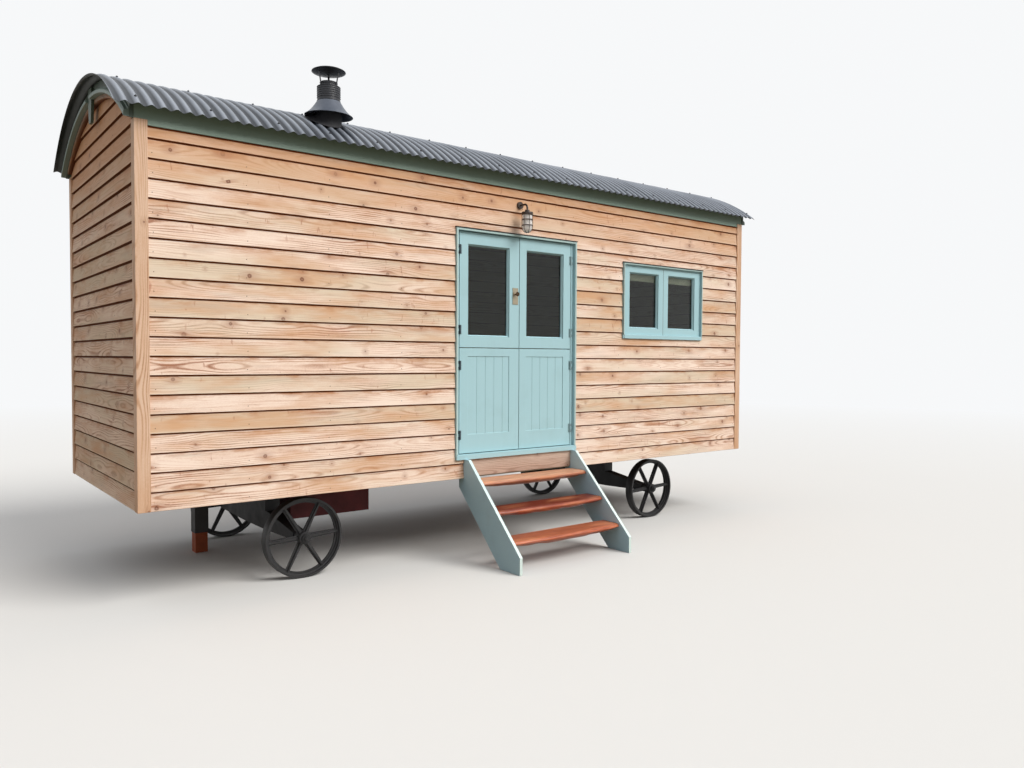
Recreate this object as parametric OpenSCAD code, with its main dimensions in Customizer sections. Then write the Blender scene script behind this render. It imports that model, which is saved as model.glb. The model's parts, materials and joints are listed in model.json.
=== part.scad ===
// Shepherds hut on cast wheels with a barrel roof of corrugated sheet.
// The origin lies on the ground at the middle of the footprint, +X runs along the long side,
// the door side faces -Y and +Z is up. All sizes are in millimetres.

/* [Body] */
// length over the corner posts
body_length = 6200; // [6000:50:6600]
// width over the corner posts
body_width = 2200; // [2100:20:2300]
// height of the cladding's lower edge above the ground
ground_gap = 650; // [640:10:700]
// height of the long walls, where the roof boards rest on them
wall_height = 2519; // [2500:1:2530]
// height of the corner posts below the top of the long walls
post_under = 49; // [30:1:60]
// width of a corner post's face
post_face = 80; // [60:5:90]
// depth from the post's face to the wall behind the boards
board_zone = 22; // [18:1:26]
// thickness of the insulated walls
wall_thick = 95; // [80:5:110]
// thickness of the floor
floor_thick = 125; // [100:5:130]
// height of the floor's top above the cladding's lower edge
floor_top = 165; // [160:1:168]

/* [Roof] */
// radius of the sheet's outer face in the valleys
roof_radius = 1942; // [1936:1:1946]
// pitch of the corrugations
wave_pitch = 76.2; // [70:0.1:80]
// depth of the corrugations
wave_depth = 18; // [14:1:20]
// thickness of the sheet
sheet_thick = 3; // [2:0.5:4]
// overhang of the sheet past the left end
verge_left = 166; // [130:1:170]
// overhang of the sheet past the right end, which is cut back to a whole valley
verge_right = 110; // [90:5:150]
// overhang of the sheet past each long side
eave_out = 92; // [80:2:120]
// thickness of the roof boards and lining
deck_thick = 69; // [60:1:72]
// depth of the barge boards on the face
barge_depth = 99; // [90:1:110]
// thickness of the barge boards
barge_thick = 24; // [18:1:30]
// height of the eaves boards' lower edge below the top of the long walls
fascia_under = 81; // [74:1:94]
// width of the pendant at the middle of each barge board
pendant_width = 112; // [90:2:130]
// length of the pendant below the sheet
pendant_long = 257; // [230:1:270]

/* [Door] */
// distance between the door frame and the window frame
door_to_window = 614; // [540:2:640]
// width over the door frame
door_width = 1321; // [1290:1:1340]
// top of the door frame above the cladding's lower edge
door_top = 2048; // [2046:1:2056]
// lower face of the sill above the cladding's lower edge
sill_low = 156; // [150:1:158]
// width of the jambs on the face
jamb_face = 45; // [42:1:50]
// depth from the frame's face to the leaves
leaf_recess = 30; // [24:1:34]
// thickness of the four leaves
leaf_thick = 44; // [38:1:48]
// gap around the leaves
leaf_gap = 5; // [5:0.5:6]
// height of the split between the lower and the upper leaves
leaf_split = 1075; // [1060:1:1085]
// width of the leaves' hinge stiles
stile = 86; // [76:1:96]
// width of the leaves' meeting stiles
meet_stile = 92; // [86:1:100]
// distance between the grooves in the lower panels
groove_pitch = 90; // [80:1:100]

/* [Window] */
// distance from the right post's face to the window frame
window_in = 676; // [640:2:720]
// width over the window frame
window_width = 1178; // [1140:2:1190]
// lower face of the window sill above the cladding's lower edge
window_low = 1187; // [1150:1:1200]
// top of the window frame above the cladding's lower edge
window_top = 1914; // [1890:1:1930]
// face width of the window frame
window_face = 30; // [26:1:36]
// face width of the casements' stiles
casement_stile = 72; // [60:1:80]
// face width of the casements' top rails
casement_rail = 52; // [46:1:60]

/* [Running gear] */
// outer diameter of the wheels
wheel_dia = 596; // [580:2:610]
// width of the wheel rims
rim_width = 86; // [70:2:96]
// number of spokes
spokes = 6; // [5:1:8]
// distance from each end to the axle
axle_x = 1198; // [1180:2:1240]
// distance from the long side's face to the middle of the wheel
wheel_y = 243; // [230:1:250]
// diameter of the axle's journals
journal_dia = 40; // [36:1:42]
// depth of the chassis rails
rail_depth = 100; // [80:5:105]
// distance from the long side's face to the middle of a chassis rail
rail_y = 480; // [460:5:520]
// side of the two props under the floor
prop_side = 110; // [100:2:120]

/* [Steps] */
// thickness of the step stringers
stringer_thick = 27; // [24:1:40]
// distance from the door frame's left edge to the steps
step_in = 85; // [70:1:90]
// width over the step stringers
step_width = 1210; // [1190:5:1220]
// reach of the steps out from the door side's face
step_reach = 736; // [725:1:745]
// width of the stringers along the ground
stringer_foot = 246; // [240:2:270]
// thickness of the treads
tread_thick = 55; // [45:1:60]
// depth of the treads
tread_depth = 235; // [220:5:240]

/* [Flue and lamp] */
// distance from the left post's face to the flue
flue_x = 1408; // [1380:2:1430]
// distance from the door side's face to the flue
flue_y = 224; // [220:1:240]
// outer diameter of the flue
flue_dia = 168; // [160:1:172]
// diameter of the upper tube
liner_dia = 124; // [116:1:130]
// diameter of the cowl
cowl_dia = 252; // [240:1:260]
// height of the lamp's mount above the cladding's lower edge
lamp_z = 2300; // [2290:1:2310]

/* [Hidden] */
// inner radius of the roof boards
deck_radius = roof_radius - sheet_thick - deck_thick;
// height of the roof's axis above the cladding's lower edge
roof_axis = wall_height - sqrt(pow(deck_radius, 2) - pow(body_width / 2 - board_zone, 2));
// height of the sheet's valleys over the flue
roof_at_flue = roof_axis + sqrt(pow(roof_radius, 2) - pow(body_width / 2 - flue_y, 2));
// height of the corner posts
post_height = wall_height - post_under;
// lower edge of the eaves boards
fascia_low = wall_height - fascia_under;
// left edge of the window frame
window_x = body_length - window_in - window_width;
// left edge of the door frame
door_x = window_x - door_to_window - door_width;
// place of the lamp over the middle of the door
lamp_x = door_x + door_width / 2;
// inner radius of the sheet in the valleys
seat_radius = roof_radius - sheet_thick;
// lower end of the pendants
pendant_low = roof_axis + seat_radius - pendant_long;
// lengths of a corrugation's flat crest and of the slope beside it
wave_flat = 0.2 * wave_pitch;
wave_slope = wave_pitch / 2 - wave_flat;
// number of corrugations on the sheet, which starts half way up a slope, and its right end
wave_count = floor((body_length + verge_left + verge_right + wave_slope / 2) / wave_pitch);
sheet_end = wave_count * wave_pitch - wave_slope / 2 - verge_left;
// half the angle that the sheet spans
roof_half = asin((body_width / 2 + eave_out) / roof_radius);
// reach of the sheet's crests past the posts on the long sides
crest_out = (roof_radius + wave_depth) * sin(roof_half) - body_width / 2;
// distances that the drawing moves so that the footprint is centred
x_shift = (verge_left - sheet_end) / 2;
y_shift = (step_reach - crest_out) / 2;
// inner corner of the posts, where the walls begin
inset = board_zone + wall_thick;
// right edge of the door frame
door_r = door_x + door_width;
// height of the door sill
sill_height = 41;
// top of the door sill
sill_top = sill_low + sill_height;
// reach of the door sill and of the window sill past the posts' faces
sill_nose = [16, 10];
// fall of the door sill's nose
sill_slope = 8;
// front face of the frames, proud of the posts
frame_y = -6;
// width of the raised edges of the door frame and of the window frame
raised_edge = [18, 14];
// front face of the leaves, of the casements and of the eaves boards
leaf_y = frame_y + leaf_recess;
casement_y = 14;
fascia_y = 6;
// height of the door frame's head above the leaves
head_face = 17;
// gap between the leaves' backs and their stops
stop_gap = 5;
// reach of the stops behind the leaves, beside them and over them
stop_side = 18;
stop_over = 13;
// bottom and top rails of the lower leaves
low_rails = [155, 68];
// bottom and top rails of the upper leaves
high_rails = [92, 98];
// depth of the lower panels behind the face, and width and depth of their grooves
panel_recess = 5;
groove = [6, 2];
// half the gap between the lower and the upper leaves
split_half = 3;
// depth of the bevel on the meeting edges
meet_bevel = 4;
// lower edge of the lower leaves
leaf_low = sill_top + 6;
// top edge of the upper leaves
leaf_high = door_top - head_face - leaf_gap;
// clear width between the jambs
door_clear = door_width - 2 * jamb_face;
// mean width of a leaf, and half of what the left one is wider
leaf_width = (door_clear - 3 * leaf_gap) / 2;
meet_shift = 15;
// width of a leaf's pane or panel
pane_width = leaf_width - stile - meet_stile;
// distance of a hinge pin from its jamb
pin_in = 6.5;
// Y of the hinge pins
pin_y = leaf_y - 8;
// radius of the hinge knuckles
knuckle = 6;
// radius of the hinge pins
pin_r = 3;
// radial clearance of the knuckles on their pins
pin_play = 0.05;
// height of a hinge
hinge_h = 75;
// length of the knuckles at the top and the bottom of a hinge
knuckle_end = 24;
// half the length of the knuckle in the middle
knuckle_mid = 12.5;
// Y of the front of a hinge flap, and widths of the flaps on the frame and on the leaf
flap_y = leaf_y - 3.6;
flap_width = 16;
leaf_flap = 7;
// height of the knob on the left upper leaf, and its distance from the meeting stile's middle
knob_z = 1540;
knob_in = 10;
// plate behind the knob: width, thickness, height and the part of it under the knob
knob_plate = [58, 4, 141];
knob_under = 88;
// radii of the knob and of its neck, and the knob's distance from the leaf
knob_r = 20;
neck_r = 9;
knob_out = 26;
// heights of the hinge middles on the lower and the upper leaves
hinge_low = [356, 930];
hinge_high = [1223, 1878];
// glass thickness, and its distance behind the leaves' and the casements' faces
glass_thick = 6;
glass_in = 30;
// height of the window sill, and the gap above it
window_sill = [36, 3];
// depth of the casements
casement_deep = 46;
// extra face of the casements' bottom rails
casement_low = 12;
// height of the axles above the cladding's lower edge
axle_z = wheel_dia / 2 - ground_gap;
// radial clearance of the wheels on the journals
wheel_play = 0.08;
// length and radius of a hub
hub_long = 110;
hub_r = 46;
// thickness of the rim, and reach and thickness of the flange inside it
rim_thick = 16;
flange_in = 40;
web_thick = 18;
// half widths of a spoke and of its ribs at the hub and at the rim, and depth of the ribs
spoke_half = [20, 15];
rib_half = [7, 5];
rib_deep = 48;
// turn of the first spoke
spoke_turn = 3;
// side gap of a wheel on its axle
hub_gap = 5;
// half the height of the axle beam at its ends, and its reach below and above at the middle
beam_end = 28;
beam_low = 45;
beam_high = 110;
// half the length of the axle's raised middle, width of the beam and of the block on it
beam_mid = 270;
beam_wide = 100;
block_wide = 120;
// width of a chassis rail and of a cross member, and gap to the end walls
rail_wide = 60;
member_wide = 120;
rail_end = 120;
// middle of the props from the end and from the rear chassis rail
prop_at = [830, 220];
// height of the props' narrow feet and their side
foot_height = 166;
foot_side = 100;
// locker under the floor: distance past the axle, length and width, and low edge
locker_x = 150;
locker = [714, 540];
locker_low = -334;
// lower face of the floor and top of the chassis
floor_low = floor_top - floor_thick;
// top of the stringers, its reach past the posts' faces and the height of their noses
stringer_top = sill_low;
stringer_out = 60;
stringer_nose = 135;
// reach of the stringers behind the boards, and the height where their backs start to slope
stringer_back = 75;
back_z = -80;
// rise of one step, and distance of a tread's tips behind the stringers' front edges
rise = 205;
tread_back = 33;
// width of the pendants' lower ends, thickness of the pendants and depth of their housing
pendant_tip = 66;
pendant_thick = 18;
pendant_in = 2;
// height of the flue skirt's rim
skirt_z = roof_at_flue + 76;
// height, wider diameter, depth below the rim's middle and slope of the flue skirt
skirt_height = 157;
skirt_dia = 470;
skirt_down = 60;
skirt_slope = 9;
// heights of the flue's top, the upper tube's top, the joint ring and the ring's height
flue_top = roof_at_flue + 298;
liner_top = flue_top + 45;
ring_z = flue_top - 70;
ring_h = 18;
// wall of the flue's tubes
tube_wall = 4;
// height of the cowl's rim, and height of each of its halves
cowl_z = liner_top + 64;
cowl_half = 35;
// lamp: reach of its middle from the posts' face, radius of the arm and of the glass
lamp_out = 97;
arm_r = 8;
lamp_glass_r = 46;
// top of the lamp's glass below the mount, and heights of its straight and tapered parts
lamp_glass_top = 95;
lamp_glass_h = [85, 65];
// lower end of the flue, inside the roof boards
flue_low = roof_axis + sqrt(pow(roof_radius - 8, 2) - pow(body_width / 2 - flue_y + flue_dia / 2 + 12, 2));

// moves hut coordinates (left front corner of the cladding's lower edge) to the part's frame
module site() {
  translate([x_shift, y_shift - body_width / 2, ground_gap])
    children();
}

// solid cylinder about the roof's axis, for cutting things to the arch
module barrel(r, x0 = -1000, x1 = body_length + 1000) {
  translate([x0, body_width / 2, roof_axis])
    rotate([0, 90, 0])
      cylinder(r = r, h = x1 - x0, $fn = 160);
}

// copies a child to the other end of the hut
module both_ends() {
  children();
  translate([body_length, 0, 0])
    mirror([1, 0, 0])
      children();
}

// copies a child to the other long side
module both_sides() {
  children();
  translate([0, body_width, 0])
    mirror([0, 1, 0])
      children();
}

module floor_slab() {
  color("tan")
    site()
      translate([inset, inset, floor_low])
        cube([body_length - 2 * inset, body_width - 2 * inset, floor_thick]);
}

// wall slab cut to the arch under the roof boards
module arched_slab(x0, x1, y0, y1, z0) {
  intersection() {
    translate([x0, y0, z0])
      cube([x1 - x0, y1 - y0, 4000]);
    barrel(deck_radius);
  }
}

module front_wall_left() {
  color("burlywood")
    site()
      arched_slab(inset, door_x, board_zone, inset, 0);
}

// slabs over and under the doorway
module front_wall_at_door() {
  color("burlywood")
    site() {
      arched_slab(door_x, door_r, board_zone, inset, door_top);
      translate([door_x, board_zone, 0])
        cube([door_width, wall_thick, sill_low]);
    }
}

module front_wall_right() {
  color("burlywood")
    site()
      difference() {
        arched_slab(door_r, body_length - inset, board_zone, inset, 0);
        translate([window_x, 0, window_low])
          cube([window_width, 300, window_top - window_low]);
      }
}

module rear_wall() {
  color("burlywood")
    site()
      arched_slab(inset, body_length - inset, body_width - inset, body_width - board_zone, 0);
}

module left_end_wall() {
  color("burlywood")
    site()
      arched_slab(board_zone, inset, inset, body_width - inset, 0);
}

module right_end_wall() {
  color("burlywood")
    site()
      arched_slab(body_length - inset, body_length - board_zone, inset, body_width - inset, 0);
}

// rebated corner post with a tenon up to the roof boards
module corner_post() {
  linear_extrude(post_height)
    polygon([[0, 0], [post_face, 0], [post_face, board_zone], [inset, board_zone],
      [inset, inset], [board_zone, inset], [board_zone, post_face], [0, post_face]]);
  intersection() {
    translate([board_zone, board_zone, post_height - 1])
      cube([wall_thick, wall_thick, 400]);
    barrel(deck_radius);
  }
}

module corner_posts() {
  color("sandybrown")
    site()
      both_ends()
        both_sides()
          corner_post();
}

// jambs and head with a stop behind the leaves
module door_frame() {
  stop_y = leaf_y + leaf_thick + stop_gap;
  color("cadetblue")
    site()
      difference() {
        translate([door_x, frame_y, sill_top])
          cube([door_width, inset - frame_y, door_top - sill_top]);
        translate([door_x + raised_edge[0], frame_y - 1, sill_top - 1])
          cube([door_width - 2 * raised_edge[0], leaf_recess + 1, leaf_high + leaf_gap - sill_top + 1]);
        translate([door_x + jamb_face, frame_y, sill_top - 1])
          cube([door_clear, stop_y - frame_y, leaf_high + leaf_gap - sill_top + 1]);
        translate([door_x + jamb_face + stop_side - leaf_gap, frame_y, sill_top - 1])
          cube([door_clear - 2 * (stop_side - leaf_gap), 300,
            leaf_high + leaf_gap - stop_over - sill_top + 1]);
      }
}

module door_sill() {
  color("cadetblue")
    site()
      difference() {
        translate([door_x, -sill_nose[0], sill_low])
          cube([door_width, inset + sill_nose[0], sill_height]);
        translate([door_x - 1, -sill_nose[0] - 1, sill_top - sill_nose[0] * tan(sill_slope)])
          rotate([sill_slope, 0, 0])
            cube([door_width + 2, sill_nose[0], sill_height]);
      }
}

// width of the left or the right leaf
function leaf_w(right) = right ? leaf_width - meet_shift : leaf_width + meet_shift;

// leaf blank bevelled at the meeting edge; x runs from the hinge side
module leaf_blank(right, z0, z1) {
  translate([0, 0, z0])
    linear_extrude(z1 - z0)
      polygon([[0, 0], [leaf_w(right), 0], [leaf_w(right) - meet_bevel, leaf_thick],
        [0, leaf_thick]]);
}

// places a child as the left or the mirrored right leaf
module leaf_place(right) {
  if (right)
    translate([door_r - jamb_face - leaf_gap, leaf_y, 0])
      mirror([1, 0, 0])
        children();
  else
    translate([door_x + jamb_face + leaf_gap, leaf_y, 0])
      children();
}

module lower_leaf(right) {
  z0 = leaf_low;
  z1 = leaf_split - split_half;
  panel_h = z1 - low_rails[1] - z0 - low_rails[0];
  color("powderblue")
    site()
      leaf_place(right)
        difference() {
          leaf_blank(right, z0, z1);
          translate([stile, -1, z0 + low_rails[0]])
            cube([pane_width, panel_recess + 1, panel_h]);
          for (i = [1 : floor(pane_width / groove_pitch)])
            translate([stile + i * groove_pitch - groove[0] / 2, 0, z0 + low_rails[0]])
              cube([groove[0], panel_recess + groove[1], panel_h]);
        }
}

module upper_leaf(right) {
  z0 = leaf_split + split_half;
  color("powderblue")
    site()
      leaf_place(right)
        difference() {
          leaf_blank(right, z0, leaf_high);
          translate([stile, -1, z0 + high_rails[0]])
            cube([pane_width, leaf_thick + 2,
              leaf_high - high_rails[1] - z0 - high_rails[0]]);
        }
}

module leaf_glass(right) {
  z0 = leaf_split + split_half + high_rails[0];
  color("slategray")
    site()
      leaf_place(right)
        translate([stile, glass_in, z0])
          cube([pane_width, glass_thick, leaf_high - high_rails[1] - z0]);
}

module leaf_lower_left() {
  lower_leaf(false);
}

module leaf_lower_right() {
  lower_leaf(true);
}

module leaf_upper_left() {
  upper_leaf(false);
}

module leaf_upper_right() {
  upper_leaf(true);
}

module glass_upper_left() {
  leaf_glass(false);
}

module glass_upper_right() {
  leaf_glass(true);
}

// places a child at a hinge, x running from the jamb's inner face
module hinge_place(right, z) {
  if (right)
    translate([door_r - jamb_face, 0, z])
      mirror([1, 0, 0])
        children();
  else
    translate([door_x + jamb_face, 0, z])
      children();
}

// half of a hinge on the frame: the pin, and an upper and a lower knuckle on flaps
module hinge_fixed() {
  translate([pin_in, pin_y, -hinge_h / 2])
    cylinder(r = pin_r, h = hinge_h, $fn = 24);
  for (z = [-hinge_h / 2, hinge_h / 2 - knuckle_end])
    translate([0, 0, z]) {
      translate([pin_in, pin_y, 0])
        cylinder(r = knuckle, h = knuckle_end, $fn = 24);
      translate([-flap_width, flap_y, 0])
        cube([flap_width + pin_in, leaf_y - flap_y, knuckle_end]);
    }
}

// half of a hinge on the leaf: the middle knuckle and the flap
module hinge_moving() {
  difference() {
    union() {
      translate([pin_in, pin_y, -knuckle_mid])
        cylinder(r = knuckle, h = 2 * knuckle_mid, $fn = 24);
      translate([pin_in, flap_y, -knuckle_mid])
        cube([knuckle + 4, leaf_y - flap_y, 2 * knuckle_mid]);
      translate([pin_in + knuckle + 2, flap_y, -hinge_h / 2])
        cube([leaf_flap, leaf_y - flap_y, hinge_h]);
    }
    translate([pin_in, pin_y, -hinge_h])
      cylinder(r = pin_r + pin_play, h = 2 * hinge_h, $fn = 24);
  }
}

module hinge_pins() {
  color("dimgray")
    site()
      for (right = [false, true])
        for (z = concat(hinge_low, hinge_high))
          hinge_place(right, z)
            hinge_fixed();
}

module hinge_set(right, heights) {
  color("dimgray")
    site()
      for (z = heights)
        hinge_place(right, z)
          hinge_moving();
}

module hinges_lower_left() {
  hinge_set(false, hinge_low);
}

module hinges_lower_right() {
  hinge_set(true, hinge_low);
}

module hinges_upper_left() {
  hinge_set(false, hinge_high);
}

module hinges_upper_right() {
  hinge_set(true, hinge_high);
}

// backplate with a knob, on the left upper leaf's meeting stile
module door_handle() {
  x = door_x + jamb_face + leaf_gap + (stile + pane_width + leaf_w(false)) / 2 + knob_in;
  color("goldenrod")
    site()
      translate([x, leaf_y, knob_z]) {
        translate([-knob_plate[0] / 2, -knob_plate[1], -knob_under])
          cube(knob_plate);
        rotate([90, 0, 0]) {
          cylinder(r = neck_r, h = knob_out + 1, $fn = 24);
          translate([0, 0, knob_out])
            cylinder(r1 = neck_r + 2, r2 = knob_r, h = 9, $fn = 32);
          translate([0, 0, knob_out + 9])
            cylinder(r1 = knob_r, r2 = knob_r - 7, h = 9, $fn = 32);
        }
      }
}

module window_frame() {
  z0 = window_low + window_sill[0] + window_sill[1];
  color("cadetblue")
    site() {
      difference() {
        translate([window_x, frame_y, window_low])
          cube([window_width, inset - frame_y, window_top - window_low]);
        translate([window_x + raised_edge[1], frame_y - 1, z0])
          cube([window_width - 2 * raised_edge[1], casement_y - frame_y + 1,
            window_top - raised_edge[1] - z0]);
        translate([window_x + window_face, frame_y, z0])
          cube([window_width - 2 * window_face, 300, window_top - window_face - z0]);
      }
      translate([window_x + raised_edge[1], -sill_nose[1], window_low])
        cube([window_width - 2 * raised_edge[1], sill_nose[1] + frame_y, window_sill[0]]);
    }
}

module casements() {
  z0 = window_low + window_sill[0] + window_sill[1];
  w = window_width / 2 - window_face - 0.5;
  h = window_top - window_face - z0;
  color("powderblue")
    site()
      for (i = [0, 1])
        translate([window_x + window_face + i * (w + 1), casement_y, z0])
          difference() {
            cube([w, casement_deep, h]);
            translate([casement_stile, -1, casement_rail + casement_low])
              cube([w - 2 * casement_stile, casement_deep + 2,
                h - 2 * casement_rail - casement_low]);
          }
}

module window_glass() {
  z0 = window_low + window_sill[0] + window_sill[1] + casement_rail + casement_low;
  w = window_width / 2 - window_face - 0.5;
  color("slategray")
    site()
      for (i = [0, 1])
        translate([window_x + window_face + i * (w + 1) + casement_stile,
            casement_y + glass_in, z0])
          cube([w - 2 * casement_stile, glass_thick,
            window_top - window_face - casement_rail - z0]);
}

module roof_deck() {
  color("darkslategray")
    site()
      intersection() {
        difference() {
          barrel(seat_radius, 0, body_length);
          barrel(deck_radius);
        }
        translate([-1, board_zone, roof_axis])
          cube([body_length + 2, body_width - 2 * board_zone, 3000]);
      }
}

// wavy strip that is turned about the roof's axis
module roof_sheet() {
  crest = roof_radius + wave_depth;
  waves = [for (i = [0 : wave_count - 1], x = wave_slope / 2 + i * wave_pitch)
    each [[crest, x], [crest, x + wave_flat], [roof_radius, x + wave_pitch / 2],
      [roof_radius, x + wave_pitch / 2 + wave_flat]]];
  top = concat([[roof_radius + wave_depth / 2, 0]], waves);
  under = [for (i = [len(top) - 1 : -1 : 0]) [top[i][0] - sheet_thick, top[i][1]]];
  color("slategray")
    site()
      translate([-verge_left, body_width / 2, roof_axis])
        rotate([0, 90, 0])
          rotate_extrude(angle = 2 * roof_half, start = 180 - roof_half, $fn = 28)
            polygon(concat(top, under));
}

// boards under the eaves, notched over the posts
module eaves_boards() {
  color("darkslategray")
    site()
      both_sides()
        difference() {
          intersection() {
            translate([0, fascia_y, fascia_low])
              cube([body_length, board_zone - fascia_y, 300]);
            barrel(seat_radius);
          }
          both_ends()
            translate([-1, -1, 0])
              cube([post_face + 1, board_zone + 2, post_height]);
        }
}

// arched boards on the ends of the roof with a pendant in the middle
module barge_boards() {
  color("darkslategray")
    site()
      both_ends() {
        intersection() {
          difference() {
            barrel(seat_radius, -barge_thick, 0);
            barrel(seat_radius - barge_depth);
          }
          translate([-500, 0, roof_axis])
            cube([1000, body_width, 3000]);
        }
        translate([pendant_in - barge_thick, body_width / 2, pendant_low])
          rotate([0, -90, 0])
            linear_extrude(pendant_in + pendant_thick)
              polygon([[0, -pendant_tip / 2], [pendant_long / 2, -pendant_width / 2],
                [pendant_long - 12, -pendant_width / 2], [pendant_long - 12, pendant_width / 2],
                [pendant_long / 2, pendant_width / 2], [0, pendant_tip / 2]]);
      }
}

module flue_pipe() {
  color("dimgray")
    site()
      translate([flue_x, flue_y, 0])
        difference() {
          union() {
            translate([0, 0, flue_low])
              cylinder(d = flue_dia, h = flue_top - flue_low, $fn = 48);
            translate([0, 0, flue_top])
              cylinder(d = liner_dia, h = liner_top - flue_top, $fn = 48);
            translate([0, 0, ring_z])
              cylinder(d = flue_dia + 2 * tube_wall, h = ring_h, $fn = 48);
          }
          translate([0, 0, flue_top - 30])
            cylinder(d = liner_dia - 2 * tube_wall, h = 200, $fn = 48);
          translate([-flue_x, -flue_y, 0])
            barrel(roof_radius + wave_depth + 0.3);
        }
}

// rain skirt, its rim cut parallel to the roof's slope
module flue_skirt() {
  color("gray")
    site()
      translate([flue_x, flue_y, 0])
        difference() {
          translate([0, 0, skirt_z - skirt_down])
            cylinder(d1 = skirt_dia, d2 = flue_dia + 6, h = skirt_height, $fn = 48);
          translate([0, 0, skirt_z - skirt_down - 6])
            cylinder(d1 = skirt_dia, d2 = flue_dia, h = skirt_height, $fn = 48);
          translate([0, 0, skirt_z - 100])
            cylinder(d = flue_dia, h = 300, $fn = 48);
          translate([0, 0, skirt_z])
            rotate([skirt_slope, 0, 0])
              translate([-skirt_dia, -skirt_dia, -300])
                cube([2 * skirt_dia, 2 * skirt_dia, 300]);
        }
}

// lens shaped cap on four straps
module flue_cowl() {
  color("dimgray")
    site()
      translate([flue_x, flue_y, 0]) {
        translate([0, 0, cowl_z])
          cylinder(d1 = cowl_dia, d2 = 20, h = cowl_half, $fn = 48);
        translate([0, 0, cowl_z - cowl_half])
          cylinder(d1 = 60, d2 = cowl_dia, h = cowl_half, $fn = 48);
        for (a = [0 : 3])
          rotate([0, 0, 45 + a * 90])
            translate([liner_dia / 2, -9, liner_top - 27])
              cube([3, 18, cowl_z - 15 - liner_top + 27]);
      }
}

// round mount, bent arm, neck and collar over the glass
module wall_lamp() {
  bend = lamp_out - 60;
  color("dimgray")
    site()
      translate([lamp_x, 0, lamp_z]) {
        translate([0, board_zone, 0])
          rotate([90, 0, 0])
            cylinder(r = 30, h = board_zone + 8, $fn = 32);
        rotate([90, 0, 0])
          cylinder(r = arm_r, h = lamp_out - bend, $fn = 24);
        translate([0, bend - lamp_out, -bend])
          rotate([0, 90, 0])
            rotate_extrude(angle = 90, start = 180, $fn = 24)
              translate([bend, 0])
                circle(r = arm_r, $fn = 24);
        translate([0, -lamp_out, -75])
          cylinder(r = arm_r, h = 75 - bend, $fn = 24);
        translate([0, -lamp_out, -lamp_glass_top])
          cylinder(r = lamp_glass_r + 3, h = 24, $fn = 32);
        translate([0, -lamp_out, 23 - lamp_glass_top])
          cylinder(r = 20, h = 20, $fn = 32);
      }
}

module lamp_glass() {
  color("white")
    site()
      translate([lamp_x, -lamp_out, lamp_z - lamp_glass_top - lamp_glass_h[0]]) {
        cylinder(r = lamp_glass_r, h = lamp_glass_h[0], $fn = 32);
        translate([0, 0, -lamp_glass_h[1]])
          cylinder(r1 = lamp_glass_r / 2, r2 = lamp_glass_r, h = lamp_glass_h[1], $fn = 32);
      }
}

module chassis_rails() {
  color("black")
    site()
      both_sides()
        translate([rail_end, rail_y - rail_wide / 2, floor_low - rail_depth])
          cube([body_length - 2 * rail_end, rail_wide, rail_depth]);
}

// cross members between the rails, two of them over the axles
module cross_members() {
  color("black")
    site()
      both_ends()
        for (x = [rail_end, axle_x - member_wide / 2, (body_length + axle_x) / 3])
          translate([x, rail_y + rail_wide / 2, floor_low - rail_depth])
            cube([member_wide, body_width - 2 * rail_y - rail_wide, rail_depth]);
}

// axle with a raised middle and round journals for the wheels
module axle() {
  low = floor_low - rail_depth;
  mid = body_width / 2;
  end = wheel_y + hub_long / 2 + hub_gap;
  tip = wheel_y - hub_long / 2 - hub_gap;
  translate([beam_wide / 2, 0, axle_z])
    rotate([0, -90, 0])
      linear_extrude(beam_wide)
        polygon([[-beam_end, end], [-beam_low, mid - beam_mid],
          [-beam_low, mid + beam_mid], [-beam_end, body_width - end],
          [beam_end, body_width - end], [beam_high, mid + beam_mid],
          [beam_high, mid - beam_mid], [beam_end, end]]);
  translate([-block_wide / 2, mid - beam_mid, axle_z + beam_high - 1])
    cube([block_wide, 2 * beam_mid, low - axle_z - beam_high + 1]);
  translate([0, tip - 1, axle_z])
    rotate([-90, 0, 0])
      cylinder(d = journal_dia, h = body_width - 2 * tip + 2, $fn = 32);
  for (y = [tip - 12, body_width - tip])
    translate([0, y, axle_z])
      rotate([-90, 0, 0])
        cylinder(d = journal_dia + 24, h = 12, $fn = 32);
}

module axles() {
  color("black")
    site()
      both_ends()
        translate([axle_x, 0, 0])
          axle();
}

// flat ring about the wheel's axis
module ring(outer, inner, h) {
  translate([0, 0, -h / 2])
    difference() {
      cylinder(r = outer, h = h, $fn = 64);
      translate([0, 0, -1])
        cylinder(r = inner, h = h + 2, $fn = 64);
    }
}

// tapered bar from the hub to the rim
module bar(half, depth, reach) {
  linear_extrude(depth, center = true)
    polygon([[hub_r - 16, -half[0]], [reach, -half[1]], [reach, half[1]],
      [hub_r - 16, half[0]]]);
}

// cast wheel with ribbed spokes
module wheel(x, y) {
  r = wheel_dia / 2;
  color("darkslategray")
    site()
      translate([x, y, axle_z])
        rotate([90, 0, 0])
          difference() {
            union() {
              ring(r, r - rim_thick, rim_width);
              ring(r - rim_thick / 2, r - flange_in, web_thick);
              for (i = [0 : spokes - 1])
                rotate([0, 0, spoke_turn + i * 360 / spokes]) {
                  bar(spoke_half, web_thick - 2, r - flange_in + 10);
                  bar(rib_half, rib_deep, r - flange_in + 18);
                }
              translate([0, 0, -hub_long / 2])
                cylinder(r = hub_r, h = hub_long, $fn = 32);
            }
            translate([0, 0, -hub_long])
              cylinder(d = journal_dia + 2 * wheel_play, h = 2 * hub_long, $fn = 32);
          }
}

module wheel_front_left() {
  wheel(axle_x, wheel_y);
}

module wheel_front_right() {
  wheel(body_length - axle_x, wheel_y);
}

module wheel_rear_left() {
  wheel(axle_x, body_width - wheel_y);
}

module wheel_rear_right() {
  wheel(body_length - axle_x, body_width - wheel_y);
}

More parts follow.
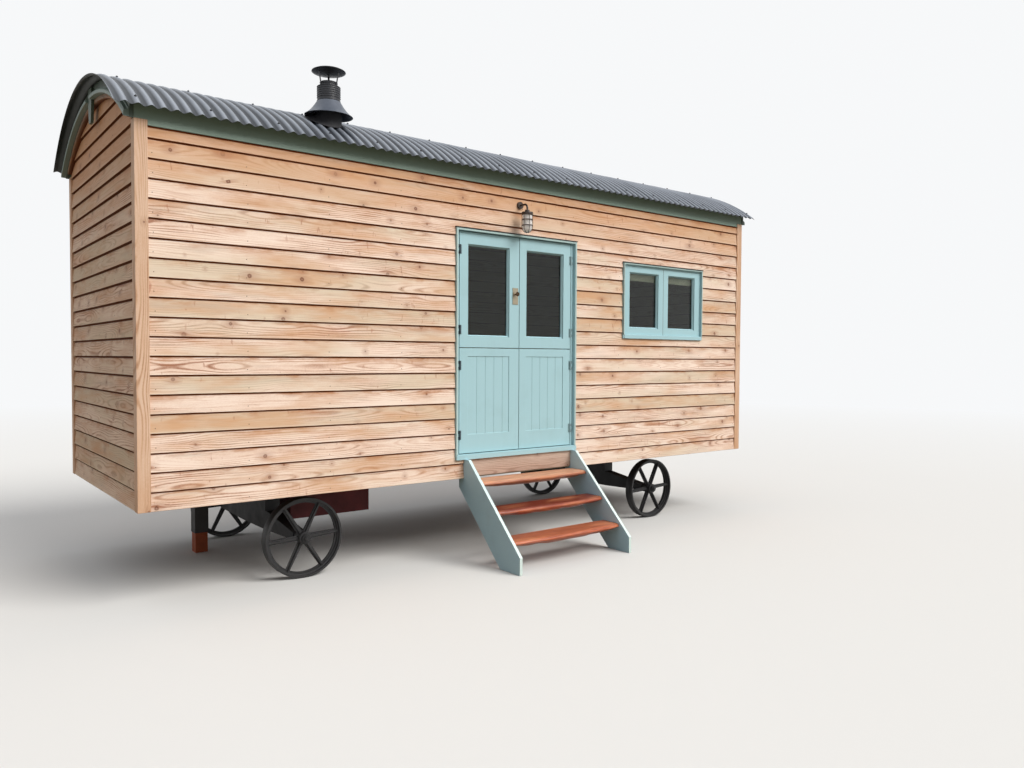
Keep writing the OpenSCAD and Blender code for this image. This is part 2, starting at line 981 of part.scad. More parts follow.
module props() {
  top = foot_height - ground_gap;
  y = body_width - rail_y - prop_at[1];
  color("maroon")
    site()
      both_ends() {
        translate([prop_at[0] - prop_side / 2, y - prop_side / 2, top - 1])
          cube([prop_side, prop_side, floor_low - top + 1]);
        translate([prop_at[0] - foot_side / 2, y - foot_side / 2, -ground_gap])
          cube([foot_side, foot_side, foot_height]);
      }
}

module underfloor_box() {
  color("maroon")
    site()
      translate([axle_x + locker_x, (body_width - locker[1]) / 2, locker_low])
        cube([locker[0], locker[1], floor_low - locker_low]);
}

module step_stringers() {
  g = -ground_gap;
  color("cadetblue")
    site()
      for (x = [door_x + step_in, door_x + step_in + step_width - stringer_thick])
        translate([x + stringer_thick, 0, 0])
          rotate([0, -90, 0])
            linear_extrude(stringer_thick)
              polygon([[stringer_top, board_zone], [stringer_top, -stringer_out],
                [g + stringer_nose, -step_reach], [g, -step_reach],
                [g, stringer_foot - step_reach], [back_z, stringer_back],
                [-1, stringer_back], [-1, board_zone]]);
}

// three treads with pointed ends and a front edge that bulges between the stringers
module step_treads() {
  slope = (step_reach - stringer_out) / (stringer_top + ground_gap - stringer_nose);
  w = step_width - 2 * stringer_thick;
  color("sienna")
    site()
      for (i = [1 : 3]) {
        top = sill_top - i * rise;
        tip = -stringer_out - (stringer_top - top + tread_thick / 2) * slope + tread_back;
        translate([door_x + step_in + stringer_thick, tip, top - tread_thick])
          linear_extrude(tread_thick)
            polygon([[0, 12], [w / 12, -6], [w / 4, -14], [w / 2, -18], [3 * w / 4, -14],
              [11 * w / 12, -6], [w, 12], [w, tread_depth - 40], [0, tread_depth - 40]]);
      }
}

floor_slab();  // floor
front_wall_left();
front_wall_at_door();
front_wall_right();
rear_wall();
left_end_wall();
right_end_wall();
corner_posts();
door_frame();
door_sill();
leaf_lower_left();
leaf_lower_right();
leaf_upper_left();
leaf_upper_right();
glass_upper_left();
glass_upper_right();
hinge_pins();
hinges_lower_left();
hinges_lower_right();
hinges_upper_left();
hinges_upper_right();
door_handle();
window_frame();
casements();
window_glass();
roof_deck();
roof_sheet();
eaves_boards();
barge_boards();
flue_pipe();
flue_skirt();
flue_cowl();
wall_lamp();
lamp_glass();
chassis_rails();
cross_members();
axles();
wheel_front_left();
wheel_front_right();
wheel_rear_left();
wheel_rear_right();
props();
underfloor_box();
step_stringers();
step_treads();
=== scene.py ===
import bmesh
import bpy
import json
import random
from math import asin, ceil, cos, pi, radians, sin, sqrt, tan
from mathutils import Matrix, Vector, noise

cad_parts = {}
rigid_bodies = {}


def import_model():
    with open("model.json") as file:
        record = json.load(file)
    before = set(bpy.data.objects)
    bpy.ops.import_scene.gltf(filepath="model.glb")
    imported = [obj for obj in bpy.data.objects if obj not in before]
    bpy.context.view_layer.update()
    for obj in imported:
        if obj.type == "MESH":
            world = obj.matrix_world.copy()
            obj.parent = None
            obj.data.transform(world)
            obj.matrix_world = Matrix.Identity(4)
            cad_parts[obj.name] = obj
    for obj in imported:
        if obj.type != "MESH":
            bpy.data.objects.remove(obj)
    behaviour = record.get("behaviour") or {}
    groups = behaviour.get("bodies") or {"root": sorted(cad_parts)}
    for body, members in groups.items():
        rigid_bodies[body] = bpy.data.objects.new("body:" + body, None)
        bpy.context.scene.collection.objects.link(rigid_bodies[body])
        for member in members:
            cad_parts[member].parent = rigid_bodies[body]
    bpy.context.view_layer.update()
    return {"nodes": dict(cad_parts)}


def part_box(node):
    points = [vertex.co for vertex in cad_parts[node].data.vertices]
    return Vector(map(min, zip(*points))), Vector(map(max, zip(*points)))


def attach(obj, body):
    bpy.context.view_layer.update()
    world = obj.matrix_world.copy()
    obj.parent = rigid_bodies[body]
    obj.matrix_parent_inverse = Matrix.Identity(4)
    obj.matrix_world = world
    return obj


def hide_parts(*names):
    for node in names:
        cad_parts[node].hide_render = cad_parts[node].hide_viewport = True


for leftover in list(bpy.data.objects):
    bpy.data.objects.remove(leftover)
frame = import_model()
rnd = random.Random(7)

# Sizes in metres. Hut coordinates start at the front left corner of the cladding's lower edge.
CORNER, FAR_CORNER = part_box("corner_posts")
LENGTH = FAR_CORNER.x - CORNER.x
WIDTH = FAR_CORNER.y - CORNER.y
MID = WIDTH / 2


def at(x, y, z):
    """Point of the part's frame from hut coordinates."""
    return Vector((CORNER.x + x, CORNER.y + y, CORNER.z + z))


def placed(x, y, z, angle=0.0, axis="X"):
    """Matrix that takes things to a point in hut coordinates, turned there about an axis."""
    return Matrix.Translation(at(x, y, z)) @ Matrix.Rotation(angle, 4, axis)


def hut_box(node):
    """Lowest and highest corners of a carried node in hut coordinates."""
    lo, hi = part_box(node)
    return lo - CORNER, hi - CORNER


def middle(node):
    """Middle of a carried node's box in hut coordinates."""
    return [(low + high) / 2 for low, high in zip(*hut_box(node))]


DOOR = hut_box("door_frame")
SILL = hut_box("door_sill")
WINDOW = hut_box("window_frame")
STEPS = hut_box("step_stringers")
FASCIA_LOW = hut_box("eaves_boards")[0].z

# Walls: where the boards start beside a post and how deep their backs lie behind its face. The axis of
# the roof's arcs follows from the height and the radius at which the deck meets the long walls.
POST_FACE = 0.0805
BOARD_ZONE = 0.022
WALL_TOP = 2.519
DECK_R = 1.870
AXIS = WALL_TOP - sqrt(DECK_R ** 2 - (MID - BOARD_ZONE) ** 2)

# Roof sheet: radii of valleys and crests, pitch, and half the angle it spans. Waves are counted in
# pitches from FIRST_CREST, the crests lie PHASE further on, and the left edge is trimmed a little askew.
VALLEY = 1.942
CREST = 1.960
PITCH = 0.0762
SHEET = hut_box("roof_sheet")
START = -0.15
PHASE = 0.1
TRIM_FRONT, TRIM_REAR = 0.33, 0.85
FIRST_CREST = SHEET[0].x - START * PITCH
WAVES = (SHEET[1].x - FIRST_CREST) / PITCH
HALF = asin((MID - SHEET[0].y) / CREST)


def flat(rows):
    """Items of all rows in one list."""
    return [item for row in rows for item in row]


class Geo:
    """Collects vertices and faces, with a grain coordinate, a tone and a stain_and_shade weight for each
    vertex.
    """

    def __init__(self):
        self.verts, self.faces, self.mats = [], [], []
        self.grain, self.tone, self.stain_and_shade = [], [], []

    def add(self, verts, faces, tone, mats=None, grain=None, stain_and_shade=None):
        base = len(self.verts)
        self.verts += [tuple(p) for p in verts]
        self.grain += [tuple(p) for p in (grain or verts)]
        self.tone += [tone] * len(verts)
        self.stain_and_shade += stain_and_shade or [0.0] * len(verts)
        self.faces += [tuple(base + i for i in face) for face in faces]
        self.mats += mats or [0] * len(faces)

    def skin(self, rows, loop=False, tone=0.5, bands=None, grain=None, stain_and_shade=None):
        """Skin over rows of points that close on themselves. The last row joins the first one with loop,
        and otherwise both ends are capped. bands holds the material of each face along a row."""
        n, m = len(rows), len(rows[0])
        faces, mats = [], []
        for i in range(n if loop else n - 1):
            for j in range(m):
                i2, j2 = (i + 1) % n, (j + 1) % m
                faces.append((i * m + j, i * m + j2, i2 * m + j2, i2 * m + j))
                mats.append(bands[j] if bands else 0)
        if not loop:
            faces += [tuple(reversed(range(m))), tuple((n - 1) * m + j for j in range(m))]
            mats += [0, 0]
        self.add(flat(rows), faces, tone, mats, grain, stain_and_shade)

    def boards(self, rows, tone):
        """Skin over rows of (point, grain, stain_and_shade weight)."""
        points, grain, stain_and_shade = ([[part[i] for part in row] for row in rows] for i in range(3))
        self.skin(points, False, tone, None, flat(grain), flat(stain_and_shade))

    def lathe(self, prof, place, n=32, tone=0.5):
        """Turns (radius, height) points about Z and then places them; a radius of 0 closes an end."""
        m = len(prof)
        verts, faces = [], []
        for i in range(n):
            a = 2 * pi * i / n
            verts += [place @ Vector((r * cos(a), r * sin(a), z)) for r, z in prof]
            i2 = (i + 1) % n
            for j in range(m - 1):
                quad = (i * m + j, i2 * m + j, i2 * m + j + 1, i * m + j + 1)
                if prof[j][0] == 0:
                    quad = (quad[0], quad[2], quad[3])
                elif prof[j + 1][0] == 0:
                    quad = quad[:3]
                faces.append(quad)
        self.add(verts, faces, tone)

    def revolve(self, row, n):
        """Ring of n rows round an axis; row(a) gives the points at an angle."""
        self.skin([row(2 * pi * i / n) for i in range(n)], True)

    def tube(self, points, r, n):
        """Round bar of n sides along a path of points."""
        up = (points[1] - points[0]).orthogonal().normalized()
        rows = []
        for i, p in enumerate(points):
            along = (points[min(i + 1, len(points) - 1)] - points[max(i - 1, 0)]).normalized()
            up = (up - along * up.dot(along)).normalized()
            side = along.cross(up)
            turn = [2 * pi * k / n for k in range(n)]
            rows.append([p + (up * cos(a) + side * sin(a)) * r for a in turn])
        self.skin(rows)

    def border(self, x, z, prof):
        """Mitred frame round the opening x[0]..x[1], z[0]..z[1]; prof holds (inset, y) points."""
        rows = []
        for right, high in ((0, 0), (1, 0), (1, 1), (0, 1)):
            rows.append([at(x[right] + (-i if right else i), y, z[high] + (-i if high else i))
                         for i, y in prof])
        self.skin(rows, True, rnd.random())

    def make(self, name, slot, mats, body="hut", smooth=35):
        """Makes the object and lets it ride on a body. slot is not used."""
        me = bpy.data.meshes.new(name)
        me.from_pydata(self.verts, [], self.faces)
        vectors = me.attributes.new("grain", "FLOAT_VECTOR", "POINT")
        vectors.data.foreach_set("vector", flat(self.grain))
        for label, values in (("tone", self.tone), ("stain_and_shade", self.stain_and_shade)):
            me.attributes.new(label, "FLOAT", "POINT").data.foreach_set("value", values)
        for m in mats if isinstance(mats, list) else [mats]:
            me.materials.append(m)
        me.polygons.foreach_set("material_index", self.mats)
        bm = bmesh.new()
        bm.from_mesh(me)
        bmesh.ops.delete(bm, geom=[v for v in bm.verts if not v.link_faces], context="VERTS")
        bmesh.ops.recalc_face_normals(bm, faces=bm.faces)
        bm.to_mesh(me)
        bm.free()
        me.shade_smooth()
        me.set_sharp_from_angle(angle=radians(smooth))
        ob = bpy.data.objects.new(name, me)
        bpy.context.scene.collection.objects.link(ob)
        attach(ob, body)
        return ob


def rgb(r, g, b):
    """Linear colour of an sRGB one in 0..255."""
    def linear(c):
        c /= 255
        return c / 12.92 if c <= 0.04045 else ((c + 0.055) / 1.055) ** 2.4
    return (linear(r), linear(g), linear(b), 1.0)


def darker(colour, share):
    """Colour that gives back only a share of the light."""
    return tuple(share * v for v in colour[:3]) + (1.0,)


class Nodes:
    """Short names for building a tree of shader nodes."""
    # Takes every noise's origin out of the part, where the seams of different scales would meet
    noise_origin = (17.3, 5.1, 9.7)

    def __init__(self, tree):
        self.tree = tree

    def put(self, socket, v):
        if hasattr(v, "is_output"):
            self.tree.links.new(v, socket)
        else:
            socket.default_value = v

    def node(self, kind, ins, **props):
        n = self.tree.nodes.new("ShaderNode" + kind)
        for k, v in props.items():
            setattr(n, k, v)
        for k, v in ins.items():
            self.put(n.inputs[k], v)
        return n

    def attr(self, name):
        n = self.node("Attribute", {}, attribute_name=name)
        return n.outputs["Vector" if name == "grain" else "Fac"]

    def obj(self):
        return self.node("TexCoord", {}).outputs["Object"]

    def math(self, op, a, b=0.0, c=0.0):
        return self.node("Math", {0: a, 1: b, 2: c}, operation=op).outputs[0]

    def mul(self, a, b):
        return self.math("MULTIPLY", a, b)

    def plus(self, a, b):
        return self.math("ADD", a, b)

    def swing(self, v, by, amount):
        """Adds a share of how far another value is from 0.5."""
        return self.plus(v, self.mul(self.plus(by, -0.5), amount))

    def vec(self, op, a, b=(0, 0, 0)):
        n = self.node("VectorMath", {0: a, 1: b}, operation=op)
        return n.outputs["Value" if op == "LENGTH" else "Vector"]

    def xyz(self, v):
        n = self.node("SeparateXYZ", {0: v})
        return n.outputs[0], n.outputs[1], n.outputs[2]

    def comb(self, x, y, z):
        return self.node("CombineXYZ", {0: x, 1: y, 2: z}).outputs[0]

    def noise(self, v, scale, detail=3.0, rough=0.55):
        """Noise of a vector; scale is one number or one for each axis."""
        scale = scale if isinstance(scale, tuple) else (scale, scale, scale)
        ins = {0: v, 1: scale, 2: self.noise_origin}
        v = self.node("VectorMath", ins, operation="MULTIPLY_ADD").outputs["Vector"]
        ins = {"Vector": v, "Scale": 1.0, "Detail": detail, "Roughness": rough}
        return self.node("TexNoise", ins).outputs["Fac"]

    def streaks(self, g, along, across, detail=3.0, rough=0.55, shift=None):
        """Noise with one scale along the grain and one across it. A shift keeps it apart from others."""
        g = self.vec("ADD", g, shift) if shift else g
        return self.noise(g, (along, across, across), detail, rough)

    def ramp(self, fac, *stops):
        """Colour ramp from (position, colour) stops."""
        n = self.node("ValToRGB", {0: fac})
        elements = n.color_ramp.elements
        while len(elements) < len(stops):
            elements.new(0.5)
        for element, (position, colour) in zip(elements, stops):
            element.position = position
            element.color = colour
        return n.outputs["Color"]

    def span(self, v, a, b, c=0.0, d=1.0):
        """Maps a..b to c..d, held at both ends."""
        return self.node("MapRange", {0: v, 1: a, 2: b, 3: c, 4: d}, clamp=True).outputs[0]

    def mix(self, fac, a, b):
        return self.node("Mix", {0: fac, 6: a, 7: b}, data_type="RGBA").outputs[2]

    def mix_shaders(self, fac, a, b):
        return self.node("MixShader", {0: fac, 1: a, 2: b}).outputs[0]

    def bump(self, height, strength, dist):
        ins = {"Height": height, "Strength": strength, "Distance": dist}
        return self.node("Bump", ins).outputs["Normal"]

    def seen_directly(self):
        """1 for camera, glossy and transmission rays and 0 for the light that falls on things."""
        path = self.node("LightPath", {})
        total = path.outputs["Is Camera Ray"]
        for ray in ("Is Glossy Ray", "Is Transmission Ray"):
            ins = {0: total, 1: path.outputs[ray]}
            total = self.node("Math", ins, operation="ADD", use_clamp=True).outputs[0]
        return total


class Mat(Nodes):
    """Material with one main shader."""

    def __init__(self, name, **sockets):
        self.m = bpy.data.materials.new(name)
        self.m.use_nodes = True
        super().__init__(self.m.node_tree)
        self.shader = self.tree.nodes["Principled BSDF"]
        self.set(**sockets)

    def set(self, **sockets):
        for k, v in sockets.items():
            self.put(self.shader.inputs[k.replace("_", " ")], v)


def grain_space(k, axis):
    """Metres along, across and through the wood, with a tone for each board. axis picks the order of
    the part's axes: wood along X, Y or Z, or, with 3, along X with its width upright."""
    if axis is None:
        return k.attr("grain"), k.attr("tone")
    x, y, z = k.xyz(k.obj())
    g = k.comb(*((x, y, z), (y, x, z), (z, x, y), (x, z, y))[axis])
    return g, k.noise(g, 0.7, 1.0)


def split_boards(k, g, pitch):
    """Gives each board its own grain and tone, and finds the joints between boards of a pitch."""
    across = k.math("DIVIDE", k.xyz(g)[1], pitch)
    index = k.math("FLOOR", across)
    tone = k.node("TexWhiteNoise", {"W": index}, noise_dimensions="1D").outputs["Value"]
    g = k.vec("ADD", g, k.comb(k.mul(tone, 40.0), 0.0, 0.0))
    joint = k.span(k.math("PINGPONG", across, 0.5), 0.004 / pitch, 0.0015 / pitch)
    return g, tone, joint


def knot_field(k, g, share):
    """Cores and halos of the knots, and how far the grain is pushed across the board round them."""
    cells = (2.7, 9.5, 0.0)
    cell = k.vec("MULTIPLY", g, cells)
    vor = k.node("TexVoronoi", {"Vector": cell, "Scale": 1.0}, voronoi_dimensions="2D")
    off = k.vec("SUBTRACT", cell, vor.outputs["Position"])
    off = k.vec("MULTIPLY", off, (1 / cells[0], 1 / cells[1], 0.0))
    pick, size, dark = k.xyz(vor.outputs["Color"])
    radius = k.span(size, 0.0, 1.0, 0.0025, 0.0160)
    rough_edge = k.mul(k.noise(g, 90.0, 2.0), 0.006)
    dist = k.math("DIVIDE", k.plus(k.vec("LENGTH", off), rough_edge), radius)
    there = k.span(pick, 1 - share, 1.01 - share)
    core = k.mul(k.span(dist, 1.45, 0.95), k.span(dist, 0.30, 0.85, 0.55, 1.0))
    core = k.mul(core, there)
    inside = k.span(vor.outputs["Distance"], 0.42, 0.22)
    halo = k.mul(k.mul(k.span(dist, 6.5, 1.2), there), inside)
    push = k.mul(k.mul(k.xyz(off)[1], halo), -0.8)
    return core, halo, push, dark


def growth_rings(k, g, push):
    """Rings of a wandering trunk that bend round the knots."""
    rings_per_metre = 92.0
    u, v, w = k.xyz(g)
    wander = k.noise(k.comb(u, k.mul(v, 0.2), w), (0.8, 1.0, 1.0), 2.0)
    depth = k.span(wander, 0.25, 0.75, 0.008, 0.10)
    ripple = k.mul(k.streaks(g, 3.5, 26.0, 2.0), 0.010)
    aside = k.math("PINGPONG", k.plus(k.plus(v, push), ripple), 0.085)
    ring_at = k.math("SQRT", k.plus(k.mul(aside, aside), k.mul(depth, depth)))
    return k.span(k.math("SINE", k.mul(ring_at, 2 * pi * rings_per_metre)), -0.1, 1.0)


def weathered(k, g, patch, colour, stain_and_shade):
    """Resin ticks, rusty runs, the dark brown gap under a butt, which is partly tannin stain and partly
    painted shade, and a pale edge, which is a painted highlight. The stain_and_shade attribute is 1 in the
    gap, 0 on a clean face and below 0 on a pale edge."""
    ticks = k.streaks(g, 30.0, 9.0, 3.0, 0.6, (1.0, 2.0, 6.0))
    ticks = k.mul(k.span(ticks, 0.64, 0.70), k.span(patch, 0.46, 0.60))
    colour = k.mix(k.mul(ticks, 0.50), colour, rgb(170, 104, 74))
    s = k.attr("stain_and_shade")
    k.set(Specular_IOR_Level=k.span(s, 0.3, 0.9, 0.25, 0.02))
    runs = k.streaks(g, 3.2, 12.0, 4.0, 0.65, (3.0, 3.0, 3.0))
    rusty = k.mul(k.span(s, 0.0, 0.3), k.span(runs, 0.48, 0.64))
    colour = k.mix(k.mul(rusty, 0.75), colour, rgb(186, 124, 78))
    # Dark brown in the gap under each butt: partly tannin stain, partly painted shade
    colour = k.mix(k.span(s, 0.3, 1.0), colour, stain_and_shade)
    # Painted highlight along each board's pale lower edge
    return k.mix(k.span(s, 0.0, -1.0), colour, rgb(252, 236, 214))


def wood(name, pale, mid, deep, knot, axis=None, stain_and_shade=None, cream=None, tan_patch=None,
         grey_patch=None, knots=0.5, boards=None, sheltered_and_shaded=None, shade_tint=(1.0, 1.0, 1.0)):
    """Bare sawn wood with growth rings, knots and fibre. boards is the pitch of boards across the grain,
    and sheltered_and_shaded holds two heights between which the wood turns tan, kept from the weather and
    darkened as painted shade from the eaves, with the share that it reaches. shade_tint multiplies the
    colour as painted shade."""
    k = Mat(name, Roughness=0.62, Specular_IOR_Level=0.25)
    g, tone = grain_space(k, axis)
    if boards:
        g, tone, joint = split_boards(k, g, boards)
    core, halo, push, dark = knot_field(k, g, knots)
    ring = growth_rings(k, g, push)
    fibre = k.streaks(g, 6.0, 330.0, 3.0, 0.6)
    streak = k.span(k.streaks(g, 2.3, 75.0, 3.0, 0.6), 0.56, 0.70)
    patch = k.streaks(g, 1.6, 7.0, 3.0, 0.6)
    fade = k.span(k.streaks(g, 1.1, 9.0, 2.0), 0.34, 0.60)
    mixed = k.plus(k.mul(k.mul(ring, fade), 0.62), k.mul(fibre, 0.50))
    mixed = k.plus(mixed, k.mul(streak, 0.34))
    mixed = k.swing(mixed, k.streaks(g, 70.0, 210.0, 2.0, 0.7), 0.50)
    mixed = k.swing(mixed, patch, 1.10)
    mixed = k.swing(mixed, tone, 0.25)
    colour = k.ramp(mixed, (0.08, pale), (0.50, mid), (1.0, deep))
    if cream:
        hue = k.swing(k.streaks(g, 0.9, 4.0, 2.0, shift=(5.0, 1.0, 8.0)), tone, 0.35)
        colour = k.mix(k.span(hue, 0.40, 0.66, 0.0, 0.72), colour, cream)
    if tan_patch:
        blot = k.streaks(g, 1.5, 7.0, 3.0, 0.6, (7.0, 3.0, 1.0))
        blot = k.plus(blot, k.mul(tone, 0.12))
        colour = k.mix(k.span(blot, 0.52, 0.80, 0.0, 0.75), colour, tan_patch)
    # Tan where the eaves keep the weather off, and darker there as painted shade under the eaves
    if sheltered_and_shaded:
        low, high, amount = sheltered_and_shaded
        height = k.swing(k.xyz(k.obj())[2], patch, 0.35)
        colour = k.mix(k.span(height, low, high, 0.0, amount), colour, tan_patch)
    if grey_patch:
        old = k.streaks(g, 1.2, 10.0, 3.0, 0.6, (2.0, 9.0, 4.0))
        colour = k.mix(k.span(old, 0.55, 0.78, 0.0, 0.45), colour, grey_patch)
    colour = k.mix(k.mul(halo, 0.42), colour, deep)
    colour = k.mix(k.mul(core, k.span(dark, 0.0, 1.0, 0.30, 0.90)), colour, knot)
    if stain_and_shade:
        colour = weathered(k, g, patch, colour, stain_and_shade)
    height = k.plus(k.mul(fibre, 0.8), k.mul(ring, 0.35))
    if boards:
        colour = k.mix(k.mul(joint, 0.8), colour, rgb(60, 38, 22))
        height = k.plus(height, k.mul(joint, -3.0))
    # shade_tint darkens the colour as painted shade; it is white for all but the end walls' larch
    k.set(Base_Color=k.vec("MULTIPLY", colour, shade_tint))
    k.set(Normal=k.bump(height, 0.35, 0.0009))
    return k.m


def weatherboard(name, stain_and_shade, shade_tint):
    """Larch of the walls' boards: tan where the eaves keep the weather off it, and darker there as painted
    shade.
    stain_and_shade is the colour of its gaps, partly stain and partly painted shade, and shade_tint
    darkens the whole wall as painted shade.
    """
    eaves = CORNER.z + FASCIA_LOW
    return wood(name, rgb(246, 225, 208), rgb(228, 196, 174), rgb(166, 116, 90), LARCH_KNOT, stain_and_shade=stain_and_shade,
                cream=rgb(218, 202, 176), tan_patch=rgb(208, 154, 108), grey_patch=rgb(184, 170, 156),
                knots=0.42, sheltered_and_shaded=(eaves - 0.5, eaves, 0.8), shade_tint=shade_tint)


def paint(name, colour, dirt_and_shade, rough=0.42, dirt_amount=0.25, stroke=0, edges=None):
    """Brushed satin paint over wood, with grime of the dirt_and_shade colour and a darker copy of it as
    painted shade in creases and gaps. stroke is the axis along which it was brushed, and edges the colour
    of a painted highlight on the faces that look forward."""
    k = Mat(name, Specular_IOR_Level=0.4)
    o = k.obj()
    scale = [150.0, 150.0, 150.0]
    scale[stroke] = 4.0
    brush = k.noise(o, tuple(scale), 3.0, 0.6)
    cloud = k.noise(o, 3.1, 4.0, 0.6)
    grime = k.span(cloud, 0.52, 0.78, 0.0, dirt_amount)
    c = k.mix(k.span(brush, 0.2, 0.8, 0.0, 0.10), colour, dirt_and_shade)
    c = k.mix(grime, c, dirt_and_shade)
    # Painted shade: creases and gaps that see little open sky turn darker
    open_sky = k.node("AmbientOcclusion", {"Distance": 0.010}, samples=6).outputs["AO"]
    c = k.mix(k.span(open_sky, 0.75, 0.25, 0.0, 0.75), c, darker(dirt_and_shade, 0.30))
    # Painted highlight on the faces that look forward
    if edges:
        forward = k.xyz(k.node("TexCoord", {}).outputs["Normal"])[1]
        c = k.mix(k.span(forward, -0.4, -0.7, 0.0, 0.85), c, edges)
    k.set(Base_Color=c, Roughness=k.span(cloud, 0.2, 0.8, rough - 0.06, rough + 0.12))
    k.set(Normal=k.bump(brush, 0.22, 0.0006))
    return k.m


def metal_base(k, colour, colour2, rough, scale, grain, rust, rust_at, bump):
    """Cloudy metal or metal paint with pits and, if wanted, rust."""
    o = k.obj()
    cloud = k.noise(o, scale, 5.0, 0.62)
    pits = k.noise(o, grain, 2.0, 0.5)
    c = k.mix(k.span(cloud, 0.32, 0.7), colour, colour2)
    r = k.span(cloud, 0.2, 0.8, rough - 0.09, rough + 0.13)
    if rust:
        spots = k.span(k.noise(o, scale * 2.3, 6.0, 0.7), rust_at, rust_at + 0.07)
        c = k.mix(spots, c, rust)
        r = k.plus(r, k.mul(spots, 0.25))
    height = k.plus(pits, k.mul(cloud, 0.6))
    k.set(Roughness=r, Normal=k.bump(height, bump, 0.0006), Base_Color=c)


def metal(name, colour, colour2, rough, metallic=0.0, scale=9.0, bump=0.15, grain=320.0,
          rust=None, rust_at=0.70):
    """Metal or metal paint between two colours. scale is that of its clouds and grain that of its pits."""
    k = Mat(name, Metallic=metallic)
    metal_base(k, colour, colour2, rough, scale, grain, rust, rust_at, bump)
    return k.m


def two_tone(name, axis, edge, low, high, rough, metallic=0.0, rust=None):
    """Metal finish that changes from one colour to another at a place along an axis of the part."""
    k = Mat(name, Metallic=metallic)
    side = k.span(k.xyz(k.obj())[axis], edge - 0.001, edge + 0.001)
    c = k.mix(side, low, high)
    worn = k.mix(side, darker(low, 0.7), darker(high, 0.7))
    metal_base(k, c, worn, rough, 9.0, 320.0, rust, 0.68, 0.2)
    return k.m


def corrugated(name, crest, valley):
    """Weathered steel sheet, lighter along its crests as a painted highlight and darker in its valleys
    from painted shade and dirt, with dull runs and clouds of dirt.
    """
    k = Mat(name, Metallic=0.3)
    o = k.obj()
    x = k.plus(k.xyz(o)[0], -(CORNER.x + FIRST_CREST))
    phase = k.math("MULTIPLY_ADD", x, 2 * pi / PITCH, -2 * pi * PHASE)
    # Painted highlight on the crest tops, painted shade with dirt in the valleys
    height = k.span(k.math("COSINE", phase), -0.45, 1.0)
    runs = k.noise(o, (30.0, 2.2, 2.2), 3.0, 0.6)
    cloud = k.noise(o, 1.7, 4.0, 0.6)
    c = k.mix(height, valley, crest)
    dull = k.plus(k.span(runs, 0.45, 0.8, 0.0, 0.22), k.span(cloud, 0.45, 0.75, 0.0, 0.25))
    c = k.mix(dull, c, valley)
    c = k.mix(k.span(k.attr("tone"), 0.0, 1.0, 0.0, 0.12), c, valley)
    k.set(Base_Color=c, Roughness=k.span(cloud, 0.2, 0.8, 0.34, 0.54))
    k.set(Normal=k.bump(k.noise(o, 420.0, 2.0), 0.10, 0.0004))
    return k.m


def glass(name, colour, ior, rough=0.0, milk=0.0):
    """Slightly smeared glass; milk is the share of light that it scatters."""
    k = Mat(name, Transmission_Weight=1.0 - milk, IOR=ior)
    smear = k.noise(k.obj(), 6.0, 3.0)
    k.set(Roughness=k.span(smear, 0.4, 0.8, rough, rough + 0.03))
    k.set(Base_Color=k.mix(k.span(smear, 0.3, 0.8, 0.0, 0.3), colour, darker(colour, 0.8)))
    return k.m


# Timber
LARCH_KNOT = rgb(112, 64, 42)
LINING_KNOT = rgb(120, 90, 60)
# The second colour of each is that of the gaps under the butts: partly stain, partly painted shade
larch = weatherboard("larch_boards", rgb(142, 78, 48), (1.0, 1.0, 1.0))
# Painted shade: a darker, warmer copy of the larch, with darker gaps, for the end walls out of the key
# light
larch_shaded = weatherboard("larch_end_boards_painted_shade", rgb(112, 62, 34), (0.86, 0.79, 0.70))
riser_wood = wood("riser_board", rgb(206, 184, 168), rgb(186, 160, 144), rgb(150, 118, 100),
                  LARCH_KNOT, axis=3, knots=0.6)
post_wood = wood("post_larch", rgb(226, 194, 168), rgb(212, 173, 142), rgb(178, 132, 100), LARCH_KNOT,
                 axis=2, tan_patch=rgb(208, 160, 122), knots=0.35)
# Darker larch of the soffit liners; its stain_and_shade colour is painted shade near the walls
arch_wood = wood("arch_larch", rgb(152, 124, 102), rgb(132, 104, 84), rgb(102, 78, 60), LARCH_KNOT,
                 stain_and_shade=rgb(96, 50, 28))
lining_wood = wood("lining_boards", rgb(176, 170, 146), rgb(160, 150, 122), rgb(140, 126, 98),
                   LINING_KNOT, axis=3, knots=0.2, boards=0.12)
ceiling_wood = wood("ceiling_boards", rgb(206, 196, 172), rgb(192, 178, 150), rgb(168, 150, 120),
                    LINING_KNOT, axis=0, knots=0.2, boards=0.12)
floor_wood = wood("floor_boards", rgb(196, 158, 118), rgb(176, 134, 94), rgb(146, 104, 66),
                  rgb(90, 56, 34), axis=0, boards=0.14)

# Paint
BLUE, BLUE_DIRT_AND_SHADE = rgb(171, 208, 215), rgb(142, 174, 176)
blue = paint("duck_egg_paint", BLUE, BLUE_DIRT_AND_SHADE, stroke=2)
blue_flat = paint("duck_egg_paint_flat", BLUE, BLUE_DIRT_AND_SHADE, stroke=0)
# Painted highlight: a paler copy of the duck-egg paint for the front faces of the frames' raised edges
edge_paint_highlight = paint("edge_paint_highlight", rgb(182, 208, 206), rgb(160, 184, 178), stroke=2)
trim = paint("trim_paint", rgb(138, 162, 149), rgb(108, 126, 108), stroke=0)
cover_paint = paint("cover_paint", rgb(126, 146, 138), rgb(96, 110, 98), stroke=1)
# Painted shade: a dark copy of the trim paint for the barge boards under the verges
barge_paint_shaded = paint("barge_paint_shaded", rgb(72, 86, 72), rgb(50, 58, 46), stroke=1)
# Painted light: a lighter copy of the duck-egg paint for the stringers, whose sides face away from the key
# light, with a painted highlight on their front faces
step_paint = paint("step_paint", rgb(188, 224, 238), rgb(152, 178, 188), rough=0.5,
                   dirt_amount=0.4, stroke=1, edges=rgb(226, 240, 232))

# Metal
HINGE_DARK, HINGE_PALE = rgb(62, 74, 82), rgb(156, 184, 188)
